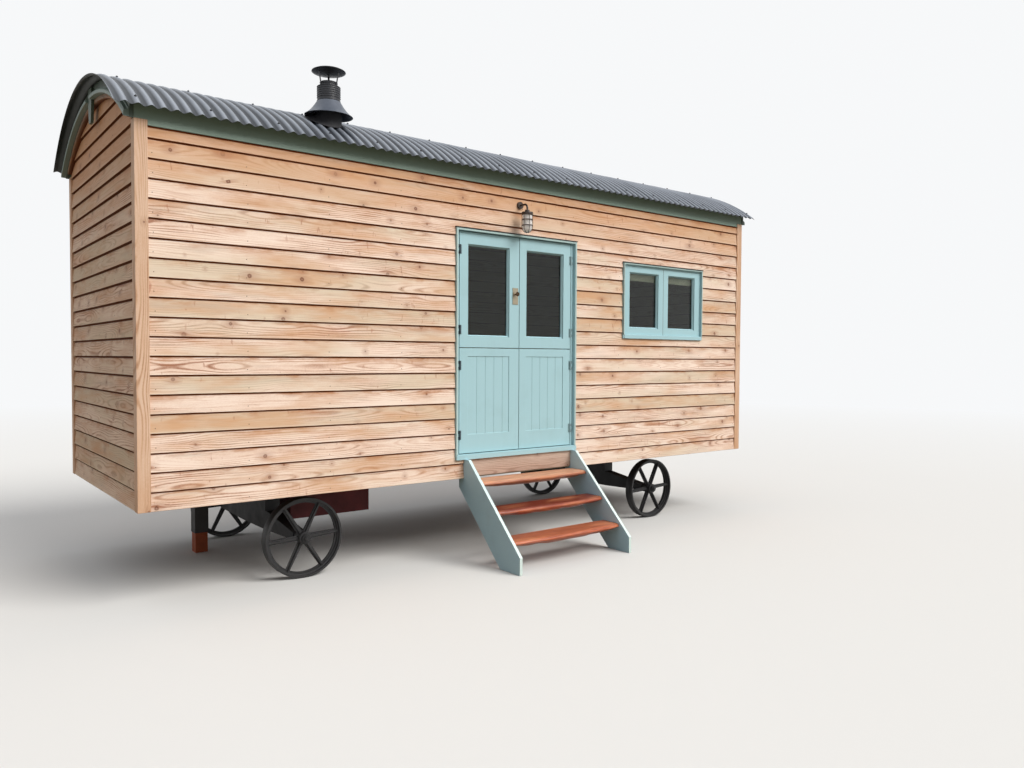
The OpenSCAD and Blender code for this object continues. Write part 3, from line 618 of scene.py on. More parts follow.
# Where the two-tone finishes change: across the door's pins, at the backplate's face and on the props
DOOR_MIDDLE = CORNER.x + middle("door_frame")[0]
KNOB_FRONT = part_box("leaf_upper_left")[0].y - 0.0055
RED_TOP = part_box("props")[0].z + 0.166
# Crest colour of the painted highlight, valley colour of the painted shade and dirt
roof_steel = corrugated("roof_steel", rgb(158, 165, 176), rgb(50, 55, 62))
# Painted shade: near black undersides of the roof sheets, seen at the verges
roof_under_shade = metal("roof_underside_painted_shade", rgb(42, 43, 35), rgb(32, 33, 27), rough=0.6, scale=2.2)
flue_black = metal("flue_black", rgb(34, 35, 40), rgb(48, 50, 56), rough=0.38, scale=6.0)
skirt_grey = metal("skirt_grey", rgb(100, 107, 119), rgb(82, 88, 100), rough=0.38, metallic=0.2,
                   scale=7.0)
boot_rubber = metal("flashing_rubber", rgb(26, 26, 30), rgb(36, 36, 40), rough=0.7, scale=12.0)
lamp_black = metal("lamp_black", rgb(50, 42, 40), rgb(78, 66, 58), rough=0.34, metallic=0.4)
hinge_dark = metal("hinge_steel", HINGE_DARK, rgb(88, 100, 106), rough=0.4, metallic=0.5)
hinge_pale = metal("hinge_painted", HINGE_PALE, rgb(120, 146, 150), rough=0.45, metallic=0.2)
pin_steel = two_tone("hinge_pins", 0, DOOR_MIDDLE, HINGE_DARK, HINGE_PALE, rough=0.4, metallic=0.3)
nail_steel = metal("nail_steel", rgb(120, 92, 72), rgb(88, 64, 48), rough=0.5, metallic=0.4)
iron = metal("cast_iron", rgb(36, 35, 36), rgb(24, 23, 25), rough=0.5, scale=16.0, bump=0.5,
             grain=180.0, rust=rgb(92, 50, 30))
black_steel = metal("black_steel", rgb(23, 22, 23), rgb(14, 14, 15), rough=0.55, scale=8.0, bump=0.3,
                    rust=rgb(70, 38, 24), rust_at=0.72)
box_oxide = metal("box_oxide", rgb(104, 20, 24), rgb(72, 16, 18), rough=0.6, scale=5.0, bump=0.3)
screw_black = metal("screw_black", rgb(24, 24, 30), rgb(40, 40, 46), rough=0.4)
blind_white = metal("blind_white", rgb(228, 226, 214), rgb(206, 204, 190), rough=0.6)
spacer_grey = metal("spacer_bar", rgb(70, 76, 74), rgb(52, 58, 56), rough=0.5)
brass = two_tone("aged_brass", 1, KNOB_FRONT, rgb(84, 64, 44), rgb(178, 166, 142), rough=0.3,
                 metallic=0.7)
prop_paint = two_tone("prop_paint", 2, RED_TOP, rgb(176, 84, 44), rgb(40, 34, 32), rough=0.6,
                      rust=rgb(100, 54, 30))

# Glass
pane = glass("pane", (0.46, 0.49, 0.43, 1.0), 1.36)
lamp_clear = glass("lamp_glass_clear", (0.97, 0.97, 0.96, 1.0), 1.42, rough=0.35, milk=0.65)

# Carried nodes: material, whether their edges are rounded, and names
WHEEL_CORNERS = ("front_left", "front_right", "rear_left", "rear_right")
FINISHES = [
    (floor_wood, False, ["floor"]),
    (lining_wood, False, ["front_wall_left", "front_wall_at_door", "front_wall_right", "rear_wall",
                          "left_end_wall", "right_end_wall"]),
    (ceiling_wood, False, ["roof_deck"]),
    (post_wood, True, ["corner_posts"]),
    (post_wood, False, ["step_treads"]),
    (blue, True, ["door_frame", "leaf_lower_left", "leaf_lower_right", "leaf_upper_left",
                  "leaf_upper_right", "casements"]),
    (blue_flat, True, ["door_sill", "window_frame"]),
    (trim, True, ["eaves_boards"]),
    (barge_paint_shaded, True, ["barge_boards"]),
    (step_paint, True, ["step_stringers"]),
    (pane, False, ["glass_upper_left", "glass_upper_right", "window_glass"]),
    (lamp_clear, False, ["lamp_glass"]),
    (pin_steel, False, ["hinge_pins"]),
    (hinge_dark, False, ["hinges_lower_left", "hinges_upper_left"]),
    (hinge_pale, False, ["hinges_lower_right", "hinges_upper_right"]),
    (brass, True, ["door_handle"]),
    (roof_steel, False, ["roof_sheet"]),
    (flue_black, False, ["flue_pipe", "flue_cowl"]),
    (skirt_grey, False, ["flue_skirt"]),
    (lamp_black, True, ["wall_lamp"]),
    (black_steel, True, ["chassis_rails", "axles"]),
    (black_steel, False, ["cross_members"]),
    (iron, True, ["wheel_" + corner for corner in WHEEL_CORNERS]),
    (prop_paint, True, ["props"]),
    (box_oxide, True, ["underfloor_box"]),
]


def soften(ob):
    """Rounds an object's edges a little."""
    ob.modifiers.new("weld", "WELD").merge_threshold = 0.00002
    bevel = ob.modifiers.new("bevel", "BEVEL")
    bevel.width = 0.0015
    bevel.segments = 2
    bevel.limit_method = "ANGLE"
    bevel.angle_limit = radians(32)


def finish_carried():
    """Gives every carried node its material, and most of them slightly rounded edges."""
    for material, rounded, names in FINISHES:
        for name in names:
            ob = frame["nodes"][name]
            ob.data.materials.clear()
            ob.data.materials.append(material)
            if rounded:
                soften(ob)


# Weatherboards: pitch of each wall's courses, what its first board adds to it and the height of the
# gap under a butt
LONG_SIDES = ("front", "rear")
COURSES = {"front": (0.12432, 0.0, 0.0090), "rear": (0.12432, 0.0, 0.0090),
           "left": (0.1221, 0.014, 0.0125), "right": (0.1221, 0.014, 0.0125)}
# What a board reaches behind the next one, its thickness at the butt, at the hidden head and in the gap,
# the gap under the eaves boards, the bevel of its butt, and how far its face and its butt stray
LAP = 0.014
BUTT = 0.019
HEAD = 0.0055
GAP_FACE = 0.0015
FASCIA_GAP = 0.013
ROUNDING = 0.0025
CUP = 0.0010
STRAY = 0.0014
# Radius and height of the gables' top edges, and the usual length of a face along a board
GABLE_R = 1.836
GABLE_TOP = AXIS + GABLE_R - 0.006
FACE_STEP = 0.4

# A wall's points: u along it, out from the boards' backs, and z up
WALLS = {
    "front": lambda u, out, z: at(u, BOARD_ZONE - out, z),
    "rear": lambda u, out, z: at(u, WIDTH - BOARD_ZONE + out, z),
    "left": lambda u, out, z: at(BOARD_ZONE - out, u, z),
    "right": lambda u, out, z: at(LENGTH - BOARD_ZONE + out, u, z),
}
# Openings in the front's boards: (from x, to x, from z, to z)
RISER = (STEPS[0].x, STEPS[1].x, -0.001, SILL[0].z + 0.002)
HOLES = [(DOOR[0].x - 0.002, DOOR[1].x + 0.002, SILL[0].z - 0.001, DOOR[1].z + 0.002),
         (WINDOW[0].x - 0.002, WINDOW[1].x + 0.002, WINDOW[0].z - 0.001, WINDOW[1].z + 0.002), RISER]


def openings(side):
    """Openings in a wall's boards."""
    return HOLES if side == "front" else []


def wall_top(side):
    """Height at which a wall's boards end."""
    return FASCIA_LOW if side in LONG_SIDES else GABLE_TOP


def wall_ends(side, z):
    """Where a wall's boards start and end at a height."""
    if side in LONG_SIDES:
        return POST_FACE, LENGTH - POST_FACE
    reach = sqrt(max(GABLE_R ** 2 - (z - AXIS) ** 2, 0.0))
    return max(POST_FACE, MID - reach), min(WIDTH - POST_FACE, MID + reach)


def course_low(side, k):
    """Height of a course's lower edge."""
    pitch, extra, _ = COURSES[side]
    return k * pitch + (extra if k else 0.0)


def course_count(side):
    """Number of courses on a wall, the cut one at its top included."""
    pitch, extra, _ = COURSES[side]
    return ceil((wall_top(side) - extra) / pitch)


def lean(side, up):
    """Thickness of a wall's board at a height over its butt."""
    return BUTT + (HEAD - BUTT) * (up / (COURSES[side][0] + LAP))


def board_runs(side, low, high):
    """Runs of wall between the openings, each with flags for ends that follow the wall's edge."""
    start, end = wall_ends(side, low)
    runs = [(start, end, True, True)]
    for x0, x1, z0, z1 in openings(side):
        if not z0 < (low + high) / 2 < z1:
            continue
        cut = []
        for a, b, first, last in runs:
            if b <= x0 or a >= x1:
                cut.append((a, b, first, last))
                continue
            if x0 - a > 0.005:
                cut.append((a, x0, first, False))
            if b - x1 > 0.005:
                cut.append((x1, b, False, last))
        runs = cut
    return runs


def board_profile(side, base, low, high, whole_low, whole_high):
    """Section of a board between two heights: (reach from the wall, height, stain_and_shade) points. base
    is the height of its butt, and the flags say which of its own edges it keeps. The weights paint shade
    on the butt's underside, below the next butt and in the gap, and a highlight just above the lower edge."""
    def on_face(z, stain_and_shade):
        return (lean(side, z - base), z, stain_and_shade)

    prof = [(0.0, low, 0.8)]
    if whole_low:
        # Painted shade on the butt's underside, then a painted highlight just above the lower edge
        reach, z, stain_and_shade = on_face(low, 1.0)
        prof += [(reach - ROUNDING, z, stain_and_shade), on_face(low + ROUNDING, -0.25),
                 on_face(low + 0.009, -0.12), on_face(low + 0.016, 0.0)]
    else:
        prof += [on_face(low, 0.1)]
    if whole_high and high - low > 0.03:
        top = high - (FASCIA_GAP if high == wall_top(side) else COURSES[side][2])
        # Painted shade growing towards the next board's butt and filling the gap behind it
        prof += [on_face(top - 0.060, 0.0), on_face(top - 0.005, 0.28), on_face(top, 0.6),
                 (GAP_FACE, top + 0.001, 1.0), (GAP_FACE, high, 1.0)]
    else:
        prof += [on_face(high, 0.2)]
    return prof + [(0.0, high, 0.8)]


def add_run(g, side, run, prof, base, wavy, look):
    """One run of a weatherboard, slightly cupped and, if wavy, with a butt that isn't quite straight."""
    s0, s1, first, last = run
    tone, shift, sway = look
    low = prof[0][1]
    steps = max(1, round((s1 - s0) / FACE_STEP))
    rows = []
    for i in range(steps + 1):
        row = []
        for out, z, stain_and_shade in prof:
            start, end = wall_ends(side, z)
            u0 = max(s0, start) if first else s0
            u1 = min(s1, end) if last else s1
            u = u0 + (u1 - u0) * i / steps
            grain = Vector((u, z - base, out)) + shift
            dz, cup = 0.0, 0.0
            if wavy and out > 0.01 and z < low + 0.01:
                dz = noise.noise(Vector((u * 1.7 + sway, 0.3, 0.0))) * STRAY
            if out > GAP_FACE:
                cup = noise.noise(Vector((u * 1.1 + sway, 7.3, z * 3.0))) * CUP
            row.append((WALLS[side](u, out + cup, z + dz), grain, stain_and_shade))
        rows.append(row)
    g.boards(rows, tone)


def cladding(side):
    """Weatherboards on one wall, cut round its openings."""
    g = Geo()
    for k in range(course_count(side)):
        z0, z1 = course_low(side, k), min(course_low(side, k + 1), wall_top(side))
        marks = {z for hole in openings(side) for z in hole[2:] if z0 + 0.001 < z < z1 - 0.001}
        cuts = sorted({z0, z1} | marks)
        tone = rnd.random()
        shift = Vector((rnd.uniform(0, 60), rnd.uniform(0, 9), rnd.uniform(0, 9)))
        look = (tone, shift, rnd.uniform(0, 90))
        for low, high in zip(cuts, cuts[1:]):
            prof = board_profile(side, z0, low, high, low == z0, high == z1)
            for run in board_runs(side, low, high):
                add_run(g, side, run, prof, z0, k > 0, look)
    wood_of_side = larch if side in LONG_SIDES else larch_shaded
    g.make("cladding_" + side, "larch", wood_of_side, smooth=28)


def riser_board():
    """Plain board between the stringers, under the door's sill."""
    x0, x1, _, z1 = RISER
    steps = 12
    rows = []
    for i in range(steps + 1):
        x = x0 + 0.001 + (x1 - x0 - 0.002) * i / steps
        low = 0.010 + 0.002 * noise.noise(Vector((x * 3.0, 0.0, 5.0)))
        y = BOARD_ZONE - 0.015 + 0.001 * noise.noise(Vector((x * 2.0, 4.0, 0.0)))
        rows.append([at(x, y, z1 - 0.004), at(x, y, low + 0.003), at(x, y + 0.002, low),
                     at(x, BOARD_ZONE, low), at(x, BOARD_ZONE, z1 - 0.004)])
    g = Geo()
    g.skin(rows)
    g.make("riser_board", "larch", riser_wood)


def soffit_liners():
    """Unpainted arched linings between the barge boards and the end walls' boards, darkening towards the
    walls as painted shade for the gap there.
    """
    prof = [(1.8395, 0.044, 0.3), (1.815, 0.044, 0.3), (1.812, 0.041, 0.45), (1.812, 0.026, 0.8),
            (1.812, 0.001, 1.0), (1.8395, 0.001, 1.0)]
    steps = 48
    for side in ("left", "right"):
        rows = []
        shift = Vector((rnd.uniform(0, 60), rnd.uniform(0, 9), 0.0))
        for i in range(steps + 1):
            row = []
            for r, out, stain_and_shade in prof:
                a = (2 * i / steps - 1) * asin((MID - POST_FACE) / r)
                point = WALLS[side](MID + r * sin(a), out, AXIS + r * cos(a))
                row.append((point, Vector((a * 1.8, r, out)) + shift, stain_and_shade))
            rows.append(row)
        g = Geo()
        g.boards(rows, rnd.random())
        g.make("soffit_liner_" + side, "larch", arch_wood, smooth=28)


def on_roof(x, r, a):
    """Point at a radius and an angle from the top, about the roof's axis."""
    return at(x, MID + r * sin(a), AXIS + r * cos(a))


def barge_covers():
    """Mouldings along the lower edges of the barge boards, on both sides of the pendants."""
    lo = hut_box("barge_boards")[0].x + 0.018
    prof = [(1.8405, 0.0), (1.8405, 0.032), (1.8430, 0.0350), (1.862, 0.0350), (1.872, 0.028),
            (1.876, 0.010), (1.884, 0.008), (1.886, 0.0)]
    pendant_half, steps = 0.057, 24
    g = Geo()
    for face, way in ((lo, -1), (LENGTH - lo, 1)):
        for side in (-1, 1):
            rows = []
            for i in range(steps + 1):
                y = pendant_half + (MID - 0.006 - pendant_half) * i / steps
                rows.append([on_roof(face + way * out, r, side * asin(y / r)) for r, out in prof])
            g.skin(rows)
    g.make("barge_covers", "trim_paint", cover_paint, smooth=30)


def cladding_nails():
    """Rows of small nail heads on the studs, one above each board's butt, bar the topmost board."""
    head = [(0.0, 0.0012), (0.0022, 0.0010), (0.0032, 0.0004), (0.0032, -0.0006)]
    turns = {"front": Matrix.Rotation(pi / 2, 4, "X"), "rear": Matrix.Rotation(-pi / 2, 4, "X"),
             "left": Matrix.Rotation(-pi / 2, 4, "Y"), "right": Matrix.Rotation(pi / 2, 4, "Y")}
    over_butt, from_end, scatter, clear = 0.034, 0.03, 0.006, 0.02
    g = Geo()
    for side, turn in turns.items():
        bays = 10 if side in LONG_SIDES else 4
        for k in range(course_count(side) - 1):
            z = course_low(side, k) + over_butt
            lo, hi = wall_ends(side, z)
            for i in range(bays + 1):
                u = lo + from_end + (hi - lo - 2 * from_end) * i / bays + rnd.uniform(-scatter, scatter)
                if any(x0 - clear < u < x1 + clear and z0 < z < z1 for x0, x1, z0, z1 in openings(side)):
                    continue
                point = WALLS[side](u, lean(side, over_butt), z)
                g.lathe(head, Matrix.Translation(point) @ turn, 8, rnd.random())
    g.make("cladding_nails", "hinge_steel", nail_steel)


def wave(x):
    """Radius of the roof's outer face at a place along the hut."""
    mean, swing = (VALLEY + CREST) / 2, (CREST - VALLEY) / 2
    return mean + swing * cos(2 * pi * ((x - FIRST_CREST) / PITCH - PHASE))


def roof_sheets():
    """Corrugated sheets, each bent over the whole roof and raised where it laps over the last one. Cover,
    lap and fade are counted in waves."""
    g = Geo()
    cover, lap, fade, per_wave, arc_steps = 9.0, 1.5, 2.2, 8, 36
    thick, raised = 0.0009, 0.0016
    a = START
    while a < WAVES:
        b = min(a + cover + lap, WAVES)
        n = round((b - a) * per_wave)
        rows = []
        for s in range(arc_steps + 1):
            t = HALF * (2 * s / arc_steps - 1)
            top, under = [], []
            trim_here = 0.0 if a > START else TRIM_FRONT + (TRIM_REAR - TRIM_FRONT) * s / arc_steps
            for j in range(n + 1):
                q = trim_here + (b - a - trim_here) * j / n
                x = FIRST_CREST + (a + q) * PITCH
                lift = raised * max(0.0, 1 - q / fade) if a > START else 0.0
                r = wave(x) - raised + lift
                top.append(on_roof(x, r, t))
                under.append(on_roof(x, r - thick, t))
            rows.append(top + under[::-1])
        g.skin(rows, False, rnd.random(), [0] * n + [1] * (n + 2))
        a += cover
    # The sheets' undersides take the dark painted-shade material
    ob = g.make("roof_sheets", "roof_steel", [roof_steel, roof_under_shade], smooth=40)
    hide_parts("roof_sheet")


def roof_screws():
    """Capped screws on the crests in arcs along the hut."""
    cap = [(0.0, 0.0096), (0.0018, 0.0090), (0.0022, 0.0054), (0.0060, 0.0050), (0.0075, 0.0038),
           (0.0080, -0.0010)]
    g = Geo()
    crests = [2, 8] + list(range(14, ceil(WAVES), 5))
    for angle in (-35.0, -19.0, -4.0, 4.0, 19.0, 35.0):
        a = radians(angle)
        for n in crests:
            x = FIRST_CREST + (n + PHASE) * PITCH
            place = Matrix.Translation(on_roof(x, CREST - 0.001, a)) @ Matrix.Rotation(-a, 4, "X")
            g.lathe(cap, place, 10, rnd.random())
    g.make("roof_screws", "roof_steel", screw_black)


def pane_boxes(node):
    """Lowest and highest corners of each pane in a node."""
    lo, hi = hut_box(node)
    if node != "window_glass":
        return [(lo, hi)]
    sash_lo, sash_hi = hut_box("casements")
    width = (sash_hi.x - sash_lo.x) / 2 - 2 * (lo.x - sash_lo.x)
    return [(lo, Vector((lo.x + width, hi.y, hi.z))), (Vector((hi.x - width, lo.y, lo.z)), hi)]


def glazing(node, body, holder):
    """Sloping beads in front of a pane and black spacer bars behind its edges."""
    front = hut_box(holder)[0].y
    beads, bars = Geo(), Geo()
    for lo, hi in pane_boxes(node):
        x, z, y = (lo.x, hi.x), (lo.z, hi.z), lo.y
        beads.border(x, z, [(0.0, front + 0.010), (0.003, front + 0.009), (0.006, front + 0.011),
                            (0.013, y - 0.004), (0.013, y - 0.0002), (0.0, y - 0.0002)])
        bars.border(x, z, [(0.0, hi.y + 0.0002), (0.011, hi.y + 0.0002), (0.011, hi.y + 0.006),
                           (0.0, hi.y + 0.006)])
    beads.make("glazing_beads_" + node, "blue_paint", blue, body)
    bars.make("spacer_bars_" + node, "hinge_steel", spacer_grey, body)


def edge_strips():
    """Rounded strips along the raised edges of the door frame and the window frame, in paler paint as a
    painted highlight.
    """
    g = Geo()
    door, window = (DOOR, 0.018, SILL[1].z + 0.0005), (WINDOW, 0.014, WINDOW[0].z + 0.036)
    for (lo, hi), face, low in (door, window):
        prof = [(0.0005, 0.0), (0.0005, -0.0020), (0.0025, -0.0035), (face - 0.0045, -0.0035),
                (face - 0.0005, -0.0010), (face - 0.0005, 0.0)]
        rows = []
        for x, z in ((lo.x, low), (lo.x, hi.z), (hi.x, hi.z), (hi.x, low)):
            at_right, at_top = x == hi.x, z == hi.z
            rows.append([at(x + (-i if at_right else i), lo.y + y, z - (i if at_top else 0.0))
                         for i, y in prof])
        g.skin(rows)
    g.make("frame_edge_strips", "blue_paint", edge_paint_highlight)


def head_drips_painted_shade():
    """Drip strips over the heads of the door frame and the window frame, dark as painted shade for the
    shadow lines over the heads.
    """
    g = Geo()
    for lo, hi in (DOOR, WINDOW):
        ring = [(0.020, hi.z + 0.0003), (lo.y - 0.008, hi.z + 0.0003), (lo.y - 0.008, hi.z + 0.0050),
                (lo.y - 0.003, hi.z + 0.0085), (0.020, hi.z + 0.0110)]
        g.skin([[at(x, y, z) for y, z in ring] for x in (lo.x - 0.004, hi.x + 0.004)])
    g.make("head_drips_painted_shade", "black_steel", black_steel)


def window_shadow_strip():
    """Dark strip in the gap where the casements meet, standing in for the shadow of a rebate there:
    painted shade.
    """
    lo, hi = hut_box("casements")
    x, y = (lo.x + hi.x) / 2, lo.y
    ring = [(x - 0.0018, y - 0.0001), (x - 0.0010, y - 0.0009), (x + 0.0010, y - 0.0009),
            (x + 0.0018, y - 0.0001)]
    g = Geo()
    g.skin([[at(u, v, z) for u, v in ring] for z in (lo.z + 0.001, hi.z - 0.001)])
    g.make("window_shadow_strip", "hinge_steel", spacer_grey)


# Hinges: heights of their middles, width of the jambs' faces and depth of the flaps' faces
HINGE_Z = {"lower": (0.356, 0.930), "upper": (1.223, 1.878)}
JAMB = 0.045
HINGE_FACE = 0.0205


def screw_head(g, x, z, r):
    """Countersunk screw in a hinge flap, facing the front."""
    head = [(0.0, 0.0002), (r * 0.5, 0.0007), (r, 0.0004), (r, -0.0004)]
    g.lathe(head, placed(x, HINGE_FACE, z, pi / 2), 10, rnd.random())


def hinge_screws():
    """Screws in the hinge flaps on the jambs and on the leaves."""
    on_jamb, on_leaf = 0.010, 0.018
    fixed = Geo()
    for level, heights in HINGE_Z.items():
        for side, edge, way in (("left", DOOR[0].x + JAMB, 1), ("right", DOOR[1].x - JAMB, -1)):
            moving = Geo()
            for z in heights:
                for dz in (-0.030, -0.020, 0.020, 0.030):
                    screw_head(fixed, edge - way * on_jamb, z + dz, 0.0026)
                for dz in (-0.028, 0.0, 0.028):
                    screw_head(moving, edge + way * on_leaf, z + dz, 0.0022)
            moving.make(f"hinge_screws_{level}_{side}", "hinge_steel", screw_black,
                        f"{level}_{side}_leaf")
    fixed.make("hinge_screws_frame", "hinge_steel", screw_black)


def window_blind():
    """Slim headbox of a blind, seen behind the tops of the window's panes."""
    lo, hi = hut_box("window_glass")
    y0, y1, z0, z1 = hi.y + 0.014, hi.y + 0.050, hi.z - 0.075, hi.z - 0.004
    ring = [(y0, z0), (y1, z0), (y1, z1), (y0 + 0.006, z1), (y0, z1 - 0.006)]
    g = Geo()
    g.skin([[at(x, y, z) for y, z in ring] for x in (lo.x - 0.02, hi.x + 0.02)])
    g.make("window_blind", "blue_paint", blind_white)


def tread_wood():
    """Oiled wood, tan on the top tread and dark red on the others' upper faces."""
    k = Mat("tread_wood", Specular_IOR_Level=0.4, Coat_Weight=0.12, Coat_Roughness=0.2)
    g, tone = k.attr("grain"), k.attr("tone")
    edge = k.ramp(tone, (0.0, rgb(168, 98, 62)), (0.5, rgb(166, 74, 40)), (1.0, rgb(190, 96, 56)))
    top = k.ramp(tone, (0.0, rgb(228, 172, 136)), (0.5, rgb(120, 48, 30)), (1.0, rgb(190, 108, 74)))
    fibre = k.streaks(g, 5.0, 120.0, 4.0, 0.6)
    cloud = k.streaks(g, 2.0, 9.0, 3.0, 0.6)
    # On the treads the stain_and_shade weight only marks the upper faces, which have their own colour
    c = k.mix(k.attr("stain_and_shade"), edge, top)
    c = k.mix(k.span(fibre, 0.40, 0.70, 0.0, 0.70), c, rgb(96, 36, 20))
    c = k.mix(k.span(cloud, 0.50, 0.75, 0.0, 0.60), c, rgb(226, 150, 104))
    k.set(Base_Color=c, Roughness=k.span(cloud, 0.2, 0.8, 0.30, 0.48))
    k.set(Normal=k.bump(k.plus(fibre, cloud), 0.3, 0.0012))
    return k.m


def treads():
    """Three thick boards with waney front edges that thin out towards their pointed ends."""
    lo, hi = hut_box("step_treads")
    rise, thick, back = 0.205, 0.055, 0.210
    depth_step = (hi.y - lo.y - back - 0.004) / 2
    steps = 36
    g = Geo()
    for i, tone in enumerate((0.0, 0.5, 1.0)):
        top = hi.z - i * rise
        front = lo.y + 0.018 + (2 - i) * depth_step
        rows = []
        for s in range(steps + 1):
            q = s / steps
            u = lo.x + (hi.x - lo.x) * q
            fullness = sin(pi * q)
            bow = 0.013 - 0.031 * fullness ** 0.55
            wobble = noise.noise(Vector((u * 6.0, i * 3.0, 0.0))) * 0.006 + 0.005
            y = front + bow + wobble
            dip = 0.012 + 0.006 * noise.noise(Vector((u * 4.0, i * 5.0, 2.0)))
            nick = 0.16 * noise.noise(Vector((u * 7.0, i * 9.0, 6.0)))
            low = top - thick * min(1.0, 0.68 + 0.34 * fullness ** 0.6 + nick)
            prof = [(front + back, top - 0.0005, 1.0), (y + 0.05, top - 0.0005, 1.0),
                    (y + 0.022, top - 0.002, 1.0), (y + 0.008, top - 0.007, 0.6),
                    (y + 0.001, top - 0.017, 0.0), (y, top - 0.026, 0.0),
                    (y + 0.006, (top + low) / 2 - 0.006, 0.0), (y + 0.018, low + 0.008, 0.0),
                    (y + 0.018 + dip, low, 0.3), (front + back, low, 0.5)]
            rows.append([(at(u, py, pz), Vector((u, py, pz + 3.0 * i)), stain_and_shade) for py, pz, stain_and_shade in prof])
        g.boards(rows, tone)
    ob = g.make("treads_waney", "tread_timber", tread_wood(), smooth=50)
    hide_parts("step_treads")


def axle_nuts():
    """Hexagonal nuts and washers on the ends of the axles."""
    g = Geo()
    lo, hi = hut_box("axles")
    washer = [(0.0, 0.0), (0.026, 0.0), (0.026, 0.003), (0.012, 0.003)]
    nut = [(0.0, 0.003), (0.020, 0.003), (0.020, 0.013), (0.018, 0.015), (0.011, 0.015),
           (0.011, 0.017), (0.0, 0.018)]
    for wheel in ("wheel_front_left", "wheel_front_right"):
        x, _, z = middle(wheel)
        for y, turn in ((lo.y, pi / 2), (hi.y, -pi / 2)):
            g.lathe(washer, placed(x, y, z, turn), 24)
            g.lathe(nut, placed(x, y, z, turn), 6)
    g.make("axle_nuts", "black_steel", black_steel, smooth=30)


def wheel_beads():
    """Raised rings on the hubs and beads round the rims, one piece on each wheel."""
    for corner in WHEEL_CORNERS:
        lo, hi = hut_box("wheel_" + corner)
        r, half = (hi.z - lo.z) / 2, (hi.y - lo.y) / 2
        hub = [(0.030, half - 0.002), (0.030, half + 0.0008), (0.040, half + 0.0008),
               (0.0445, half - 0.004), (0.0445, half - 0.008)]
        rim = [(r - 0.020, 0.012), (r - 0.0245, 0.014), (r - 0.0245, 0.020), (r - 0.0150, 0.022)]
        g = Geo()
        for side in (-1, 1):
            place = placed(*middle("wheel_" + corner), -side * pi / 2)
            g.lathe(hub, place, 32)
            g.lathe(rim, place, 64)
        g.make("wheel_beads_" + corner, "iron", iron, corner + "_wheel", smooth=30)


# Flue: place of its axis, radii of its wide tube and its slim one, and height of the slim one's top
FLUE = hut_box("flue_pipe")
FLUE_X, FLUE_Y, _ = middle("flue_pipe")
FLUE_R = 0.084
SLIM_R = 0.062
FLUE_TOP = FLUE[1].z - 0.026
SKIRT_TOP = hut_box("flue_skirt")[1].z
SKIRT_SLOPE = radians(3)
COWL_Z = hut_box("flue_cowl")[1].z - 0.045


def roof_height(y, r):
    """Height of a cylinder of radius r about the roof's axis, at a place across the hut."""
    return AXIS + sqrt(r ** 2 - (y - MID) ** 2)


def flue_tubes():
    """Wide tube and the slimmer one on top of it, with rolled edges and swages."""
    low, neck = FLUE[0].z, FLUE_TOP - 0.034
    bore = SLIM_R - 0.004
    g = Geo()
    tube = [(bore, low), (FLUE_R, low), (FLUE_R, neck), (FLUE_R - 0.006, neck + 0.002),
            (SLIM_R, neck + 0.003), (SLIM_R, FLUE_TOP), (bore, FLUE_TOP), (bore, low)]
    g.lathe(tube, placed(FLUE_X, FLUE_Y, 0.0), 48)
    rings = [(FLUE_R, neck - 0.003, 0.0038), (FLUE_R, neck - 0.105, 0.0038),
             (FLUE_R, neck - 0.165, 0.003), (SLIM_R, FLUE_TOP - 0.003, 0.0045)]
    rings += [(FLUE_R, neck - 0.018 - 0.016 * n, 0.0036) for n in range(5)]
    rings += [(SLIM_R, neck + 0.009 + 0.010 * n, 0.0034) for n in range(2)]
    for r, z, size in rings:
        prof = [(r - 0.001, -size), (r + size * 0.7, -size * 0.7), (r + size, 0.0),
                (r + size * 0.7, size * 0.7), (r - 0.001, size)]
        g.lathe(prof, placed(FLUE_X, FLUE_Y, z), 48)
    ob = g.make("flue_tubes", "flue_steel", flue_black)
    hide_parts("flue_pipe")


def flue_skirt():
    """Thin flared skirt, its rim parallel to the roof's slope."""
    steps, thick, rim_r, bow = 8, 0.0014, 0.179, 0.013
    over_valley, over_crest = 0.069, 0.004
    z_mid = roof_height(FLUE_Y, VALLEY) + over_valley

    def row(a):
        rim_y = FLUE_Y + rim_r * sin(a)
        lowest = roof_height(rim_y, CREST) + over_crest
        rim_z = max(z_mid + rim_r * sin(a) * tan(SKIRT_SLOPE), lowest)
        outer, inner = [], []
        for s in range(steps + 1):
            q = s / steps
            r = rim_r + (FLUE_R + 0.004 - rim_r) * q
            z = rim_z + (SKIRT_TOP - rim_z) * q - bow * sin(pi * q)
            outer.append(at(FLUE_X + r * cos(a), FLUE_Y + r * sin(a), z))
            inner.append(at(FLUE_X + (r - thick) * cos(a), FLUE_Y + (r - thick) * sin(a), z - thick))
        return outer + inner[::-1]

    g = Geo()
    g.revolve(row, 64)
    ob = g.make("skirt_flared", "skirt_steel", skirt_grey, smooth=50)
    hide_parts("flue_skirt")


def flue_boot():
    """Rubber flashing cone that hugs the tube and lies on the sheet, most of it uphill of the tube."""
    prof = [(0.0005, 0.075), (0.004, 0.075), (0.010, 0.050), (0.016, 0.030), (0.028, 0.018),
            (0.042, 0.008), (0.054, 0.003), (0.054, 0.0005), (0.0005, 0.0005)]

    def row(a):
        points = []
        for beyond, up in prof:
            r = FLUE_R + beyond
            aside = max(0.0, beyond - 0.010)
            x = FLUE_X + r * cos(a) - 0.75 * aside
            y = FLUE_Y + r * sin(a) + 0.60 * aside
            points.append(at(x, y, roof_height(FLUE_Y if up > 0.04 else y, CREST) + up))
        return points

    g = Geo()
    g.revolve(row, 48)
    g.make("flue_boot", "flue_steel", boot_rubber, smooth=50)


